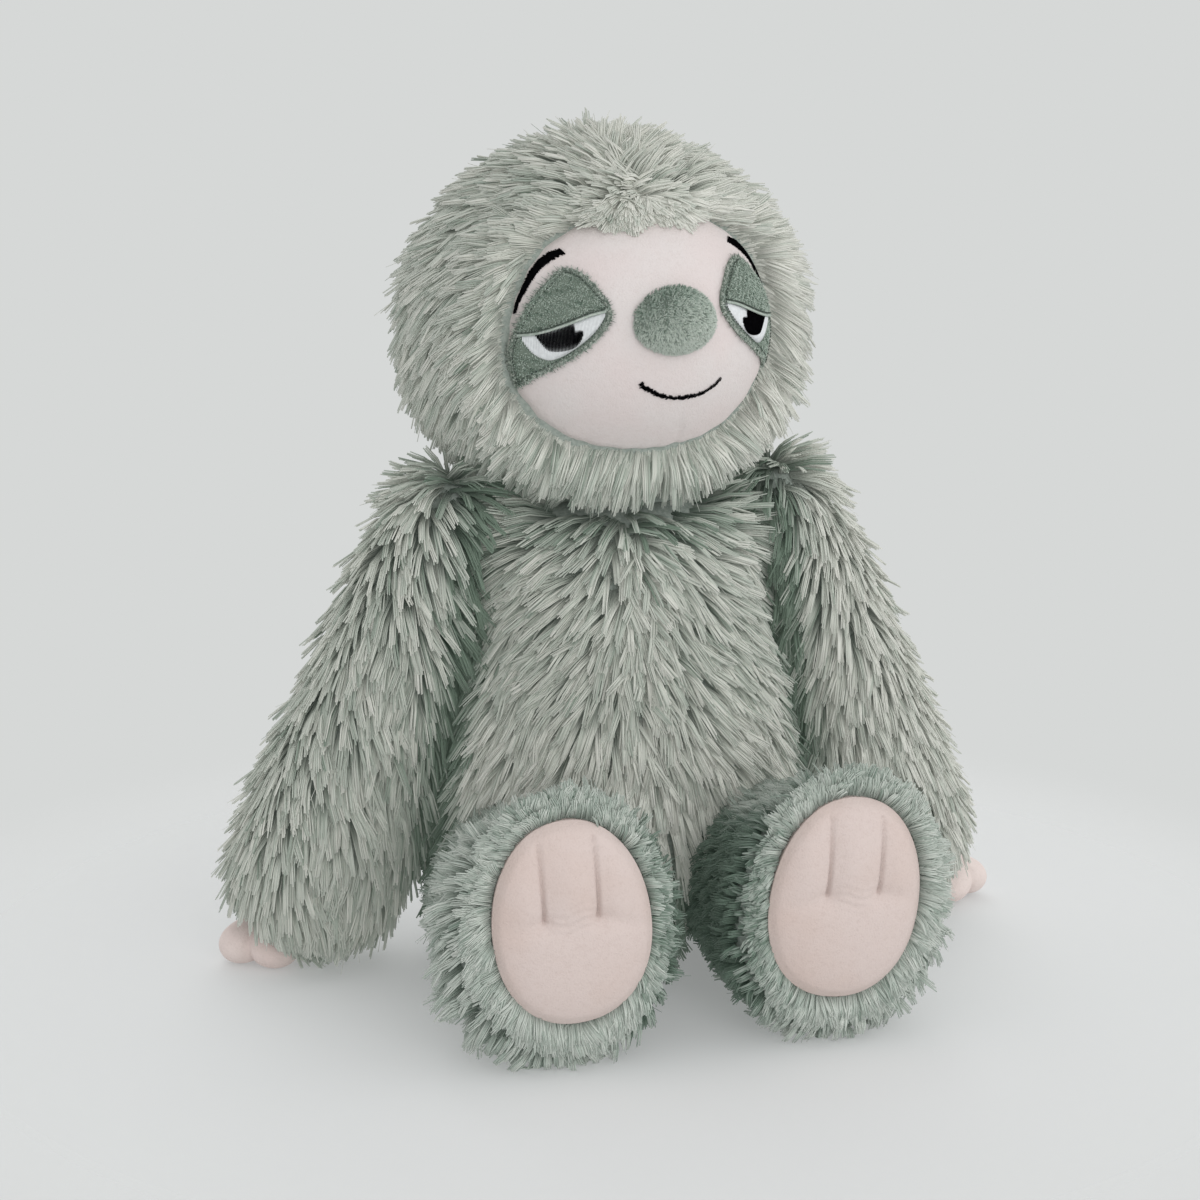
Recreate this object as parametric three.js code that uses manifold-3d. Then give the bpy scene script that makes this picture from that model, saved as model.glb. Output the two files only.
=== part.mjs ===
// A seated plush sloth: a pear-shaped body, a big round head with a bulging face,
// long arms whose paws lie on the floor, and short legs that point forwards.
// Millimetres, +Z up. The animal faces -Y, and left and right are its own, so left is +X.
// The origin is in the middle of the flat seat, on the floor.
import * as THREE from 'three';
import { mergeVertices } from 'three/addons/utils/BufferGeometryUtils.js';
import Module from 'manifold-3d';

const wasm = await Module();
wasm.setup();

// Fits that every piece shares
const GAP = 0.3; // sewn faces lie this far apart
const PILE = 9; // fur fabric: backing and the pile lying over it
const FLOOR_CUT = 0.5; // how deep the soft forms are pressed flat on the floor
const OVERRUN = 5; // how far a cutting form runs past what it cuts
const LEFT = 1;
const RIGHT = -1;
const RINGS_PER_SIDE = 0.6; // rings of an egg for each of its sides

// Body
const BODY_HEIGHT = 192;
const BODY_HALF_WIDTH = 73;
const BODY_HALF_DEPTH = 58;
const BODY_LEAN = 4; // how far the shoulders sit behind the seat
const BODY_SIDES = 24;
const CUT_REACH = 4 * BODY_HEIGHT; // larger than the whole toy

// Neck: a ball on the body, a gathered cap over it, a hollow in the head over that
const NECK_SINK = 32; // how far the ball's middle lies below the top of the body's form
const NECK_HEIGHT = BODY_HEIGHT - NECK_SINK;
const NECK_BALL = 34;
const NECK_WALL = 3.2;
const NECK_RIM = 25; // height of the cap's rim above the ball's middle
const COLLAR_RISE = 16;
const COLLAR_HEIGHT = NECK_HEIGHT + COLLAR_RISE; // the body's flat top round the neck ball
const YOKE_DROP = 2;
const YOKE_HEIGHT = NECK_HEIGHT - YOKE_DROP; // above this the body is one thick yoke that carries the neck
const NECK_SIDES = 32;
const NECK_CLEARANCE = 0.5; // room for the head to turn and nod

// Head, placed from the neck ball's middle
const HEAD_RISE = 92.5;
const HEAD_BACK = 4;
const HEAD_HALF_WIDTH = 77;
const HEAD_HALF_DEPTH = 67;
const HEAD_HALF_HEIGHT = 69;
const HEAD_TURN = 5.5; // degrees, towards its left
const HEAD_TILT = -2.5; // degrees, towards its right shoulder
const HEAD_SIDES = 24;

// Face: a padded panel sewn into the fur, part of one bulging form
const FACE_RISE = 91;
const FACE_AHEAD = 2;
const FACE_HALF_WIDTH = 52;
const FACE_HALF_HEIGHT = 43;
const FACE_BULGE_WIDTH = 60;
const FACE_BULGE_DEPTH = 65;
const FACE_BULGE_HEIGHT = 58;
const FACE_BULGE_BEHIND = 16; // where the face's outline stops, ahead of the bulge's middle
const FACE_WALL = 3;
const FACE_SIDES = 24;
const FELT = 0.7; // thickness of one layer of felt or stitching

const NOSE_RISE = 7;
const NOSE_HALF_WIDTH = 16.5;
const NOSE_HALF_HEIGHT = 12.5;
const NOSE_HALF_DEPTH = 9;
const NOSE_SIDES = 16;

const EYE_SIDE = 35.5;
const EYE_RISE = 5;
const EYE_HALF_WIDTH = 14.5;
const EYE_HALF_HEIGHT = 20.5;
const BROW_THIN = 0.9;
const BROW_THICK = 2.6;
const MOUTH_SIDE = 4.8;
const MOUTH_DROP = 19.5;
const MOUTH_HALF_WIDTH = 16.5;
const MOUTH_HALF_HEIGHT = 3.4;
const MOUTH_THIN = 1;
const MOUTH_THICK = 2;

// Arms
const ARM_INSET = 13; // how far the top of the arm's path lies inside the body's width
const ARM_SIDE = BODY_HALF_WIDTH - ARM_INSET;
const ARM_BACK = 4;
const ARM_TOP_RISE = 6;
const ARM_TOP = BODY_HEIGHT + ARM_TOP_RISE;
const ARM_SPREAD = 70; // how far the arm's path leads outwards
const ARM_END_SIDE = ARM_SIDE + ARM_SPREAD;
const ARM_END_BACK = 15;
const ARM_END_HEIGHT = 6;
const ARM_HALF_WIDTH = 34;
const ARM_HALF_DEPTH = 33;
const ARM_SPLAY = 8; // degrees that the sewn side leans out from upright
const ARM_TOE = 14; // degrees that the sewn side turns, so that the arm swings forwards and out
const ARM_SIDES = 16;

const PAW_OUT = 9;
const PAW_SIDE = ARM_END_SIDE + PAW_OUT;
const PAW_BACK = 21;
const PAW_TURN = 42; // degrees that the fingers point forwards from sideways
const PAW_HALF_LENGTH = 18;
const PAW_HALF_WIDTH = 16;
const PAW_HALF_HEIGHT = 10.5;
const FINGER_HALF_LENGTH = 8;
const FINGER_HALF_WIDTH = 7.5;
const FINGER_HALF_HEIGHT = 7.2;
const PAW_SIDES = 12;

// Legs
const HIP_SIDE = 47;
const HIP_AHEAD = 36;
const HIP_HEIGHT = 37;
const LEG_ROOT_AHEAD = 6;
const KNEE_AHEAD = 66;
const HEEL_AHEAD = 106;
const FOOT_SIDE = 50;
const FOOT_AHEAD = 122;
const FOOT_HALF_WIDTH = 41;
const FOOT_HALF_HEIGHT = 48.5;
const SOLE_RISE = 5.5; // how far the foot's front sits above the heel
const KNEE_RISE = 4;
const LEG_SIDES = 16;
const HIP_CLEARANCE = 0.9; // room for the thigh to turn
const HIP_UP = 10; // degrees
const HIP_DOWN = 80; // degrees
const HIP_STEPS = 6;

const SOLE_HALF_WIDTH = 27.7;
const SOLE_HALF_HEIGHT = 36.5;
const SOLE_HEIGHT = 57;
const SOLE_CROWN = 8; // how far the pad's middle stands ahead of the foot
const SOLE_BRIM = 1; // how far the pad's edge stands ahead of the foot
const SOLE_ROLL = 7; // degrees that the toes lean outwards
const SOLE_SIDES = 24;
const TOE_SPACING = 19;
const TOE_CHANNEL_LENGTH = 26;
const TOE_CHANNEL_WIDTH = 2;
const TOE_CHANNEL_DEPTH = 2.2;
const TOE_CHANNEL_RISE = 14;
const SLIT_REACH = 4 * SOLE_CROWN; // depth of the form that cuts a channel

// Pellet bag that keeps the toy sitting
const BAG_HALF_WIDTH = 28;
const BAG_HALF_DEPTH = 17;
const BAG_HEIGHT = 18;
const BAG_FULLNESS = 0.65; // half its full egg's height, as a share of the height that is left
const BAG_BACK = 19;
const BAG_SIDES = 12;

// Each row of a form's table is a place along it, then the half width and half depth there,
// as shares of its length and of its largest half width and half depth.
const bodyShares = [
  [0, 0.8, 0.74], [0.035, 0.91, 0.87], [0.1, 0.985, 0.965], [0.2, 1, 1], [0.33, 0.99, 0.995],
  [0.46, 0.94, 0.95], [0.59, 0.875, 0.875], [0.72, 0.8, 0.785], [0.82, 0.755, 0.715],
  [0.9, 0.705, 0.63], [0.955, 0.6, 0.51], [0.988, 0.4, 0.33],
];
const headShares = [
  [0.015, 0.25, 0.25], [0.06, 0.5, 0.5], [0.13, 0.7, 0.69], [0.22, 0.86, 0.85], [0.33, 0.965, 0.955],
  [0.45, 1, 1], [0.57, 0.99, 0.995], [0.68, 0.93, 0.94], [0.78, 0.825, 0.84], [0.87, 0.67, 0.68],
  [0.94, 0.47, 0.48], [0.985, 0.24, 0.245],
];
const armShares = [
  [0.015, 0.24, 0.27], [0.055, 0.43, 0.5], [0.12, 0.58, 0.69], [0.2, 0.67, 0.79], [0.32, 0.77, 0.87],
  [0.46, 0.83, 0.93], [0.6, 0.94, 0.985], [0.74, 1, 1], [0.85, 0.985, 0.96], [0.925, 0.82, 0.79],
  [0.98, 0.47, 0.45],
];
const legShares = [
  [0.015, 0.25, 0.22], [0.055, 0.46, 0.41], [0.12, 0.64, 0.57], [0.2, 0.75, 0.67], [0.3, 0.81, 0.73],
  [0.42, 0.85, 0.78], [0.55, 0.9, 0.84], [0.68, 0.955, 0.92], [0.79, 0.995, 0.98], [0.87, 1, 1],
  [0.945, 0.97, 0.97], [1, 0.86, 0.885],
];
// The sole's crown from its middle out, then its rise there.
const crownShares = [[0, 1], [0.3, 0.93], [0.55, 0.77], [0.77, 0.52], [0.92, 0.24], [1, 0]];
const THIGH_ROWS = 9; // rows of the leg's table that can reach the body as the hip turns

// Outlines on the face, as shares of the half width and half height given with each.
const faceShares = [
  [0, -1.03], [0.42, -0.97], [0.7, -0.81], [0.9, -0.55], [1, -0.22], [1, 0.1], [0.92, 0.42],
  [0.76, 0.72], [0.5, 0.93], [0.2, 0.99],
];
const eyePatchShares = [
  [-0.21, 0.99], [-0.67, 0.78], [-0.96, 0.44], [-0.98, 0.18], [-0.72, -0.12], [-0.12, -0.53],
  [0.41, -0.8], [0.83, -1.07], [1.03, -0.73], [1.07, -0.35], [0.9, 0.05], [0.56, 0.51], [0.17, 0.82],
];
const eyelidShares = [
  [-0.24, 0.9], [-0.59, 0.68], [-0.86, 0.38], [-0.85, 0.29], [0, 0.09], [0.83, -0.07], [0.77, 0.15],
  [0.52, 0.48], [0.12, 0.79],
];
const eyeWhiteShares = [
  [-0.79, 0.08], [-0.5, -0.19], [-0.17, -0.39], [0.17, -0.55], [0.41, -0.56], [0.66, -0.44],
  [0.79, -0.21], [0.03, 0.05], [-0.86, 0.27],
];
const pupilShares = [
  [0.54, -0.13], [0.19, -0.03], [-0.19, 0.07], [-0.34, -0.08], [-0.24, -0.27], [0.14, -0.41],
  [0.45, -0.29],
];
const browShares = [[0.93, 0.23], [0.79, 0.5], [0.57, 0.8], [0.28, 1.05], [-0.21, 1.27]];
const mouthShares = [[-1, 1], [-0.72, 0], [-0.05, -0.95], [0.5, -0.75], [0.8, -0.1], [1, 0.75]];
const OUTLINE_POINTS = 18;
const STROKE_POINTS = 9;

// Looks
const furLook = { color: 0x8f9c8f, roughness: 0.95, metalness: 0 };
const paleLook = { color: 0xe0cdc4, roughness: 0.9, metalness: 0 };
const fillLook = { color: 0xf0efe8, roughness: 1, metalness: 0 };
const bagLook = { color: 0xd9d6cc, roughness: 0.9, metalness: 0 };
const feltLook = { color: 0x67786f, roughness: 0.95, metalness: 0 };
const whiteLook = { color: 0xeeeeec, roughness: 0.85, metalness: 0 };
const blackLook = { color: 0x17191a, roughness: 0.8, metalness: 0 };

// Turns a geometry into a solid that can be joined and cut.
function solid(geometry) {
  const bare = geometry.clone();
  bare.deleteAttribute('normal');
  bare.deleteAttribute('uv');
  const merged = mergeVertices(bare);
  const vertProperties = new Float32Array(merged.attributes.position.array);
  const triVerts = new Uint32Array(merged.index.array);
  return new wasm.Manifold(new wasm.Mesh({ numProp: 3, vertProperties, triVerts }));
}

// Turns a finished solid into a named mesh with its own material.
function piece(name, body, look) {
  const { numProp, vertProperties, triVerts } = body.getMesh();
  const points = new Float32Array(vertProperties.length / numProp * 3);
  for (let i = 0; i < points.length / 3; i += 1) {
    points.set(vertProperties.subarray(i * numProp, i * numProp + 3), i * 3);
  }
  const geometry = new THREE.BufferGeometry();
  geometry.setAttribute('position', new THREE.BufferAttribute(points, 3));
  geometry.setIndex(Array.from(triVerts));
  geometry.computeVertexNormals();
  const mesh = new THREE.Mesh(geometry, new THREE.MeshStandardMaterial(look));
  mesh.name = name;
  return mesh;
}

// A closed skin over rings of points: neighbouring rings are joined by triangles,
// and each end is closed by a fan to its pole.
function skin(rings, firstPole, lastPole) {
  const sides = rings[0].length;
  const points = [...rings.flat(), firstPole, lastPole];
  const first = points.length - 2;
  const last = points.length - 1;
  const index = [];
  for (let j = 0; j < sides; j += 1) {
    const next = (j + 1) % sides;
    index.push(first, next, j);
    for (let i = 0; i + 1 < rings.length; i += 1) {
      const low = i * sides;
      const high = low + sides;
      index.push(low + j, low + next, high + j);
      index.push(low + next, high + next, high + j);
    }
    const end = (rings.length - 1) * sides;
    index.push(last, end + j, end + next);
  }
  const geometry = new THREE.BufferGeometry().setFromPoints(points);
  geometry.setIndex(index);
  return geometry;
}

// A form that swells and tapers along a path: at each row of its table an ellipse stands
// square to one direction, along. An inset draws the whole form in, and a negative one
// grows it.
function swell({ path, along, halfWidth, halfDepth, shares, sides, endShare = 1 }, inset = 0) {
  const trim = inset / path.getLength();
  const place = (share) => {
    const way = trim + share * (1 - 2 * trim);
    const onPath = THREE.MathUtils.clamp(way, 0, 1);
    return path.getPointAt(onPath).addScaledVector(along, (way - onPath) * path.getLength());
  };
  const across = new THREE.Vector3(1, 0, 0);
  across.addScaledVector(along, -across.dot(along)).normalize();
  const depth = along.clone().cross(across);
  const rings = shares.map(([share, wide, deep]) => Array.from({ length: sides }, (_, j) => {
    const angle = j / sides * 2 * Math.PI;
    return place(share)
      .addScaledVector(across, (halfWidth - inset) * wide * Math.cos(angle))
      .addScaledVector(depth, (halfDepth - inset) * deep * Math.sin(angle));
  }));
  return skin(rings, place(0), place(endShare));
}

// An ellipsoid about a middle point.
function egg(middle, radii, sides) {
  const geometry = new THREE.SphereGeometry(1, sides, Math.round(sides * RINGS_PER_SIDE));
  geometry.scale(...radii);
  geometry.translate(...middle);
  return solid(geometry);
}

// A block that fills everything beyond a plane, given by its normal and its distance from
// the origin.
function beyond(normal, distance) {
  const geometry = new THREE.BoxGeometry(CUT_REACH, CUT_REACH, CUT_REACH);
  geometry.translate(0, 0, CUT_REACH / 2);
  geometry.applyQuaternion(new THREE.Quaternion().setFromUnitVectors(new THREE.Vector3(0, 0, 1), normal));
  geometry.translate(...normal.clone().multiplyScalar(distance));
  return solid(geometry);
}

const up = new THREE.Vector3(0, 0, 1);
const down = new THREE.Vector3(0, 0, -1);
const floor = beyond(down, 0);

// The furthest that a geometry reaches along a direction.
function reachAlong(geometry, direction) {
  const point = new THREE.Vector3();
  const { position } = geometry.attributes;
  let most = -Infinity;
  for (let i = 0; i < position.count; i += 1) {
    most = Math.max(most, point.fromBufferAttribute(position, i).dot(direction));
  }
  return most;
}

// A flat outline on the face's plane, X across and Z up, pushed along Y.
function prism(outline, front, back) {
  const shape = new THREE.Shape(outline);
  const geometry = new THREE.ExtrudeGeometry(shape, { depth: back - front, bevelEnabled: false, steps: 1 });
  geometry.rotateX(Math.PI / 2);
  geometry.translate(0, back, 0);
  return solid(geometry);
}

// Points on the face's plane, from shares of two half sizes about a middle point.
function placed(shares, [x, z], [halfWidth, halfHeight]) {
  return shares.map(([across, rise]) => new THREE.Vector3(x + across * halfWidth, z + rise * halfHeight, 0));
}

// A smooth closed outline, counterclockwise through shares of two half sizes about a middle
// point, and mirrored for the animal's right side. Growing it moves each point square to it.
function outline(shares, middle, half, { hand = LEFT, grow = 0, count = OUTLINE_POINTS } = {}) {
  const curve = new THREE.CatmullRomCurve3(placed(shares, middle, half), true, 'centripetal');
  return Array.from({ length: count }, (_, i) => {
    const point = curve.getPointAt(i / count);
    const tangent = curve.getTangentAt(i / count);
    return new THREE.Vector2(hand * (point.x + tangent.y * grow), point.y - tangent.x * grow);
  });
}

// The outline of one embroidered stroke along shares of two half sizes, whose width goes
// evenly from one end to the other.
function stroke(shares, middle, half, [startWidth, endWidth], hand = LEFT) {
  const curve = new THREE.CatmullRomCurve3(placed(shares, middle, half), false, 'centripetal');
  const edge = (along, way) => {
    const point = curve.getPointAt(along);
    const tangent = curve.getTangentAt(along);
    const out = (startWidth + (endWidth - startWidth) * along) / 2 * way;
    return new THREE.Vector2(hand * (point.x - tangent.y * out), point.y + tangent.x * out);
  };
  const places = Array.from({ length: STROKE_POINTS }, (_, i) => i / (STROKE_POINTS - 1));
  const back = [...places].reverse();
  return [...places.map((along) => edge(along, 1)), ...back.map((along) => edge(along, -1))];
}

// Body: the fur skin under a yoke that carries the neck ball, open at both hips
const bodyForm = {
  path: new THREE.CatmullRomCurve3([
    new THREE.Vector3(0, 0, -FLOOR_CUT),
    new THREE.Vector3(0, 0, BODY_HEIGHT / 3),
    new THREE.Vector3(0, BODY_LEAN, BODY_HEIGHT),
  ]),
  along: up,
  halfWidth: BODY_HALF_WIDTH,
  halfDepth: BODY_HALF_DEPTH,
  shares: bodyShares,
  sides: BODY_SIDES,
};
const neckPlace = new THREE.Vector3(0, BODY_LEAN, NECK_HEIGHT);

function neckSphere(radius) {
  return egg([0, 0, 0], [radius, radius, radius], NECK_SIDES);
}

function legForm(hand) {
  return {
    path: new THREE.CatmullRomCurve3([
      new THREE.Vector3(hand * HIP_SIDE, -LEG_ROOT_AHEAD, HIP_HEIGHT),
      new THREE.Vector3(hand * HIP_SIDE, -KNEE_AHEAD, HIP_HEIGHT + KNEE_RISE),
      new THREE.Vector3(hand * FOOT_SIDE, -HEEL_AHEAD, FOOT_HALF_HEIGHT - FLOOR_CUT),
      new THREE.Vector3(hand * FOOT_SIDE, -FOOT_AHEAD, FOOT_HALF_HEIGHT - FLOOR_CUT + SOLE_RISE),
    ]),
    along: new THREE.Vector3(0, -1, 0),
    halfWidth: FOOT_HALF_WIDTH,
    halfDepth: FOOT_HALF_HEIGHT,
    shares: legShares,
    sides: LEG_SIDES,
  };
}

// The space that a thigh sweeps as its hip turns from its upper to its lower limit.
function hipPocket(hand) {
  const form = legForm(hand);
  const rows = form.shares.slice(0, THIGH_ROWS);
  const thigh = swell({ ...form, shares: rows, endShare: rows[THIGH_ROWS - 1][0] }, -HIP_CLEARANCE);
  let pocket = null;
  for (let i = 0; i <= HIP_STEPS; i += 1) {
    const turn = THREE.MathUtils.degToRad(-HIP_UP + (HIP_UP + HIP_DOWN) * i / HIP_STEPS);
    const turned = thigh.clone();
    turned.translate(0, HIP_AHEAD, -HIP_HEIGHT);
    turned.rotateX(turn);
    turned.translate(0, -HIP_AHEAD, HIP_HEIGHT);
    pocket = pocket ? pocket.add(solid(turned)) : solid(turned);
  }
  return pocket;
}

// The pellet bag lies flat on the skin of the seat: an egg cut off below its middle.
function pelletBag(grow = 0) {
  const low = PILE + GAP;
  const half = BAG_HEIGHT * BAG_FULLNESS;
  const middle = low + BAG_HEIGHT - half;
  const radii = [BAG_HALF_WIDTH + grow, BAG_HALF_DEPTH + grow, half + grow];
  const bag = egg([0, BAG_BACK, middle], radii, BAG_SIDES);
  return grow ? bag : bag.subtract(beyond(down, -low));
}

const pockets = hipPocket(LEFT).add(hipPocket(RIGHT));
const yoke = beyond(up, YOKE_HEIGHT);

function bodyFur() {
  const ball = neckSphere(NECK_BALL).subtract(beyond(down, 0));
  return solid(swell(bodyForm))
    .subtract(beyond(up, COLLAR_HEIGHT))
    .add(ball.translate(neckPlace.toArray()))
    .subtract(solid(swell(bodyForm, PILE)).subtract(yoke))
    .subtract(pockets)
    .subtract(floor);
}

function bodyStuffing() {
  const lowered = beyond(up, YOKE_HEIGHT - GAP);
  return solid(swell(bodyForm, PILE + 2 * GAP))
    .subtract(lowered)
    .subtract(pockets)
    .subtract(pelletBag(GAP));
}

function neckCap() {
  return neckSphere(NECK_BALL + NECK_CLEARANCE + NECK_WALL)
    .subtract(neckSphere(NECK_BALL + NECK_CLEARANCE))
    .intersect(beyond(up, NECK_RIM));
}

// Head, built about the neck ball's middle
const headForm = {
  path: new THREE.LineCurve3(
    new THREE.Vector3(0, HEAD_BACK, HEAD_RISE - HEAD_HALF_HEIGHT),
    new THREE.Vector3(0, HEAD_BACK, HEAD_RISE + HEAD_HALF_HEIGHT),
  ),
  along: up,
  halfWidth: HEAD_HALF_WIDTH,
  halfDepth: HEAD_HALF_DEPTH,
  shares: headShares,
  sides: HEAD_SIDES,
};
const neckHollow = neckSphere(NECK_BALL + NECK_WALL + 2 * NECK_CLEARANCE);
const FACE_FRONT = -FACE_AHEAD - FACE_BULGE_DEPTH - NOSE_HALF_DEPTH - OVERRUN;
const FACE_BACK = -FACE_AHEAD - FACE_BULGE_BEHIND;

// The bulging form of the face, drawn out or in by an offset.
function bulge(offset) {
  const radii = [FACE_BULGE_WIDTH + offset, FACE_BULGE_DEPTH + offset, FACE_BULGE_HEIGHT + offset];
  return egg([0, -FACE_AHEAD, FACE_RISE], radii, FACE_SIDES);
}

// Everything behind the face's outline, which is the same on both sides.
function faceWindow(grow) {
  const mirrored = faceShares.map(([across, rise]) => [-across, rise]).filter(([across]) => across !== 0);
  const whole = [...faceShares, ...mirrored.reverse()];
  const half = [FACE_HALF_WIDTH, FACE_HALF_HEIGHT];
  const points = outline(whole, [0, FACE_RISE], half, { grow, count: 2 * OUTLINE_POINTS });
  return prism(points, FACE_FRONT, FACE_BACK);
}

function headFur() {
  return solid(swell(headForm))
    .subtract(solid(swell(headForm, PILE)))
    .subtract(faceWindow(0))
    .subtract(neckHollow);
}

function headStuffing() {
  const behindFace = bulge(-FACE_WALL - GAP).intersect(faceWindow(-2 * GAP));
  return solid(swell(headForm, PILE + 2 * GAP))
    .subtract(bulge(0).intersect(faceWindow(GAP)).subtract(bulge(-FACE_WALL - GAP)))
    .add(behindFace)
    .subtract(neckHollow);
}

function facePanel() {
  return bulge(0).intersect(faceWindow(-GAP)).subtract(bulge(-FACE_WALL));
}

function nose() {
  const rise = FACE_RISE + NOSE_RISE;
  const ball = egg(
    [0, -FACE_AHEAD - FACE_BULGE_DEPTH, rise],
    [NOSE_HALF_WIDTH, NOSE_HALF_DEPTH, NOSE_HALF_HEIGHT],
    NOSE_SIDES,
  );
  return ball.subtract(bulge(GAP));
}

// One felt or stitched shape on the face, as thick as one layer, on the layer given.
function applique(points, layer) {
  const low = GAP + layer * (FELT + GAP);
  return bulge(low + FELT).subtract(bulge(low)).intersect(prism(points, FACE_FRONT, FACE_BACK));
}

const eyeMiddle = [EYE_SIDE, FACE_RISE + EYE_RISE];
const eyeHalf = [EYE_HALF_WIDTH, EYE_HALF_HEIGHT];

function eyePieces(hand, name) {
  const lid = outline(eyelidShares, eyeMiddle, eyeHalf, { hand });
  const grownLid = outline(eyelidShares, eyeMiddle, eyeHalf, { hand, grow: GAP });
  const lidRoom = prism(grownLid, FACE_FRONT, FACE_BACK);
  const white = applique(outline(eyeWhiteShares, eyeMiddle, eyeHalf, { hand }), 1).subtract(lidRoom);
  const pupil = applique(outline(pupilShares, eyeMiddle, eyeHalf, { hand }), 2).subtract(lidRoom);
  const patch = applique(outline(eyePatchShares, eyeMiddle, eyeHalf, { hand }), 0);
  const brow = applique(stroke(browShares, eyeMiddle, eyeHalf, [BROW_THIN, BROW_THICK], hand), 0);
  const edge = faceWindow(-2 * GAP);
  return [
    piece(`eye_patch_${name}`, patch.intersect(edge), feltLook),
    piece(`eyelid_${name}`, applique(lid, 1), feltLook),
    piece(`eye_white_${name}`, white, whiteLook),
    piece(`pupil_${name}`, pupil, blackLook),
    piece(`eyebrow_${name}`, brow.intersect(edge), blackLook),
  ];
}

function mouth() {
  const middle = [MOUTH_SIDE, FACE_RISE - MOUTH_DROP];
  const half = [MOUTH_HALF_WIDTH, MOUTH_HALF_HEIGHT];
  return applique(stroke(mouthShares, middle, half, [MOUTH_THICK, MOUTH_THIN]), 0);
}

// Arms: the sewn side is flat and lies along the body, square to the shoulder's axis
function shoulderAxis(hand) {
  const splay = THREE.MathUtils.degToRad(ARM_SPLAY);
  const toe = THREE.MathUtils.degToRad(ARM_TOE);
  return new THREE.Vector3(
    hand * Math.cos(toe) * Math.cos(splay),
    Math.sin(toe) * Math.cos(splay),
    Math.sin(splay),
  );
}

function armForm(hand) {
  const top = new THREE.Vector3(hand * ARM_SIDE, ARM_BACK, ARM_TOP);
  const end = new THREE.Vector3(hand * ARM_END_SIDE, ARM_END_BACK, ARM_END_HEIGHT);
  return {
    path: new THREE.LineCurve3(top, end),
    along: end.clone().sub(top).normalize(),
    halfWidth: ARM_HALF_WIDTH,
    halfDepth: ARM_HALF_DEPTH,
    shares: armShares,
    sides: ARM_SIDES,
  };
}

function paw(hand, grow = 0) {
  const ahead = new THREE.Vector3(hand * (PAW_HALF_LENGTH - FINGER_HALF_LENGTH), 0, 0);
  const beside = new THREE.Vector3(0, FINGER_HALF_WIDTH, 0);
  const radii = [PAW_HALF_LENGTH + grow, PAW_HALF_WIDTH + grow, PAW_HALF_HEIGHT + grow];
  const palm = egg([0, 0, 0], radii, PAW_SIDES);
  const fingers = [LEFT, RIGHT].map((way) => {
    const middle = ahead.clone().addScaledVector(beside, way);
    middle.z = FINGER_HALF_HEIGHT - PAW_HALF_HEIGHT;
    const reaches = [FINGER_HALF_LENGTH + grow, FINGER_HALF_WIDTH + grow, FINGER_HALF_HEIGHT + grow];
    return egg(middle.toArray(), reaches, PAW_SIDES);
  });
  return palm.add(fingers[0]).add(fingers[1])
    .rotate([0, 0, -hand * PAW_TURN])
    .translate([hand * PAW_SIDE, PAW_BACK, PAW_HALF_HEIGHT - FLOOR_CUT]);
}

function armPieces(hand, name) {
  const axis = shoulderAxis(hand);
  const sewn = reachAlong(swell(bodyForm), axis) + GAP;
  const room = paw(hand, GAP);
  const within = (inset) => solid(swell(armForm(hand), inset)).intersect(beyond(axis, sewn + inset));
  return [
    piece(`arm_fur_${name}`, within(0).subtract(within(PILE)).subtract(room), furLook),
    piece(`arm_stuffing_${name}`, within(PILE + 2 * GAP).subtract(room), fillLook),
    piece(`paw_${name}`, paw(hand).subtract(floor), paleLook),
  ];
}

// Legs: the sole is a crowned oval pad sewn into the foot's front
function solePad(hand, { grow = 0, inset = 0 } = {}) {
  const back = -FOOT_AHEAD + PILE + 2 * GAP + grow;
  const brim = -FOOT_AHEAD - SOLE_BRIM;
  const crown = SOLE_CROWN - SOLE_BRIM + grow - inset;
  const profile = crownShares.map(([out, rise]) => new THREE.Vector2(out, brim - crown * rise));
  profile.push(new THREE.Vector2(1, back), new THREE.Vector2(0, back));
  const geometry = new THREE.LatheGeometry(profile, SOLE_SIDES);
  geometry.scale(SOLE_HALF_WIDTH + grow, 1, SOLE_HALF_HEIGHT + grow);
  geometry.rotateY(THREE.MathUtils.degToRad(hand * SOLE_ROLL));
  geometry.translate(hand * FOOT_SIDE, 0, SOLE_HEIGHT);
  return solid(geometry);
}

// Two sewn channels that part the toes, cut to an even depth under the crown.
function sole(hand) {
  const under = solePad(hand, { inset: TOE_CHANNEL_DEPTH });
  let pad = solePad(hand);
  for (const way of [LEFT, RIGHT]) {
    const slit = new THREE.BoxGeometry(TOE_CHANNEL_WIDTH, SLIT_REACH, TOE_CHANNEL_LENGTH);
    slit.translate(way * TOE_SPACING / 2, -FOOT_AHEAD, TOE_CHANNEL_RISE);
    slit.rotateY(THREE.MathUtils.degToRad(hand * SOLE_ROLL));
    slit.translate(hand * FOOT_SIDE, 0, SOLE_HEIGHT);
    pad = pad.subtract(solid(slit).subtract(under));
  }
  return pad;
}

function legPieces(hand, name) {
  const room = solePad(hand, { grow: GAP });
  const within = (inset) => solid(swell(legForm(hand), inset));
  return [
    piece(`leg_fur_${name}`, within(0).subtract(within(PILE)).subtract(room).subtract(floor), furLook),
    piece(`leg_stuffing_${name}`, within(PILE + 2 * GAP).subtract(room), fillLook),
    piece(`sole_${name}`, sole(hand), paleLook),
  ];
}

// The whole toy
const toy = new THREE.Group();
toy.add(
  piece('torso_fur', bodyFur(), furLook),
  piece('torso_stuffing', bodyStuffing(), fillLook),
  piece('seat_pellet_bag', pelletBag(), bagLook),
);

const neck = new THREE.Group();
neck.position.copy(neckPlace);
neck.add(piece('neck_gusset', neckCap(), furLook));
toy.add(neck);

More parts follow.
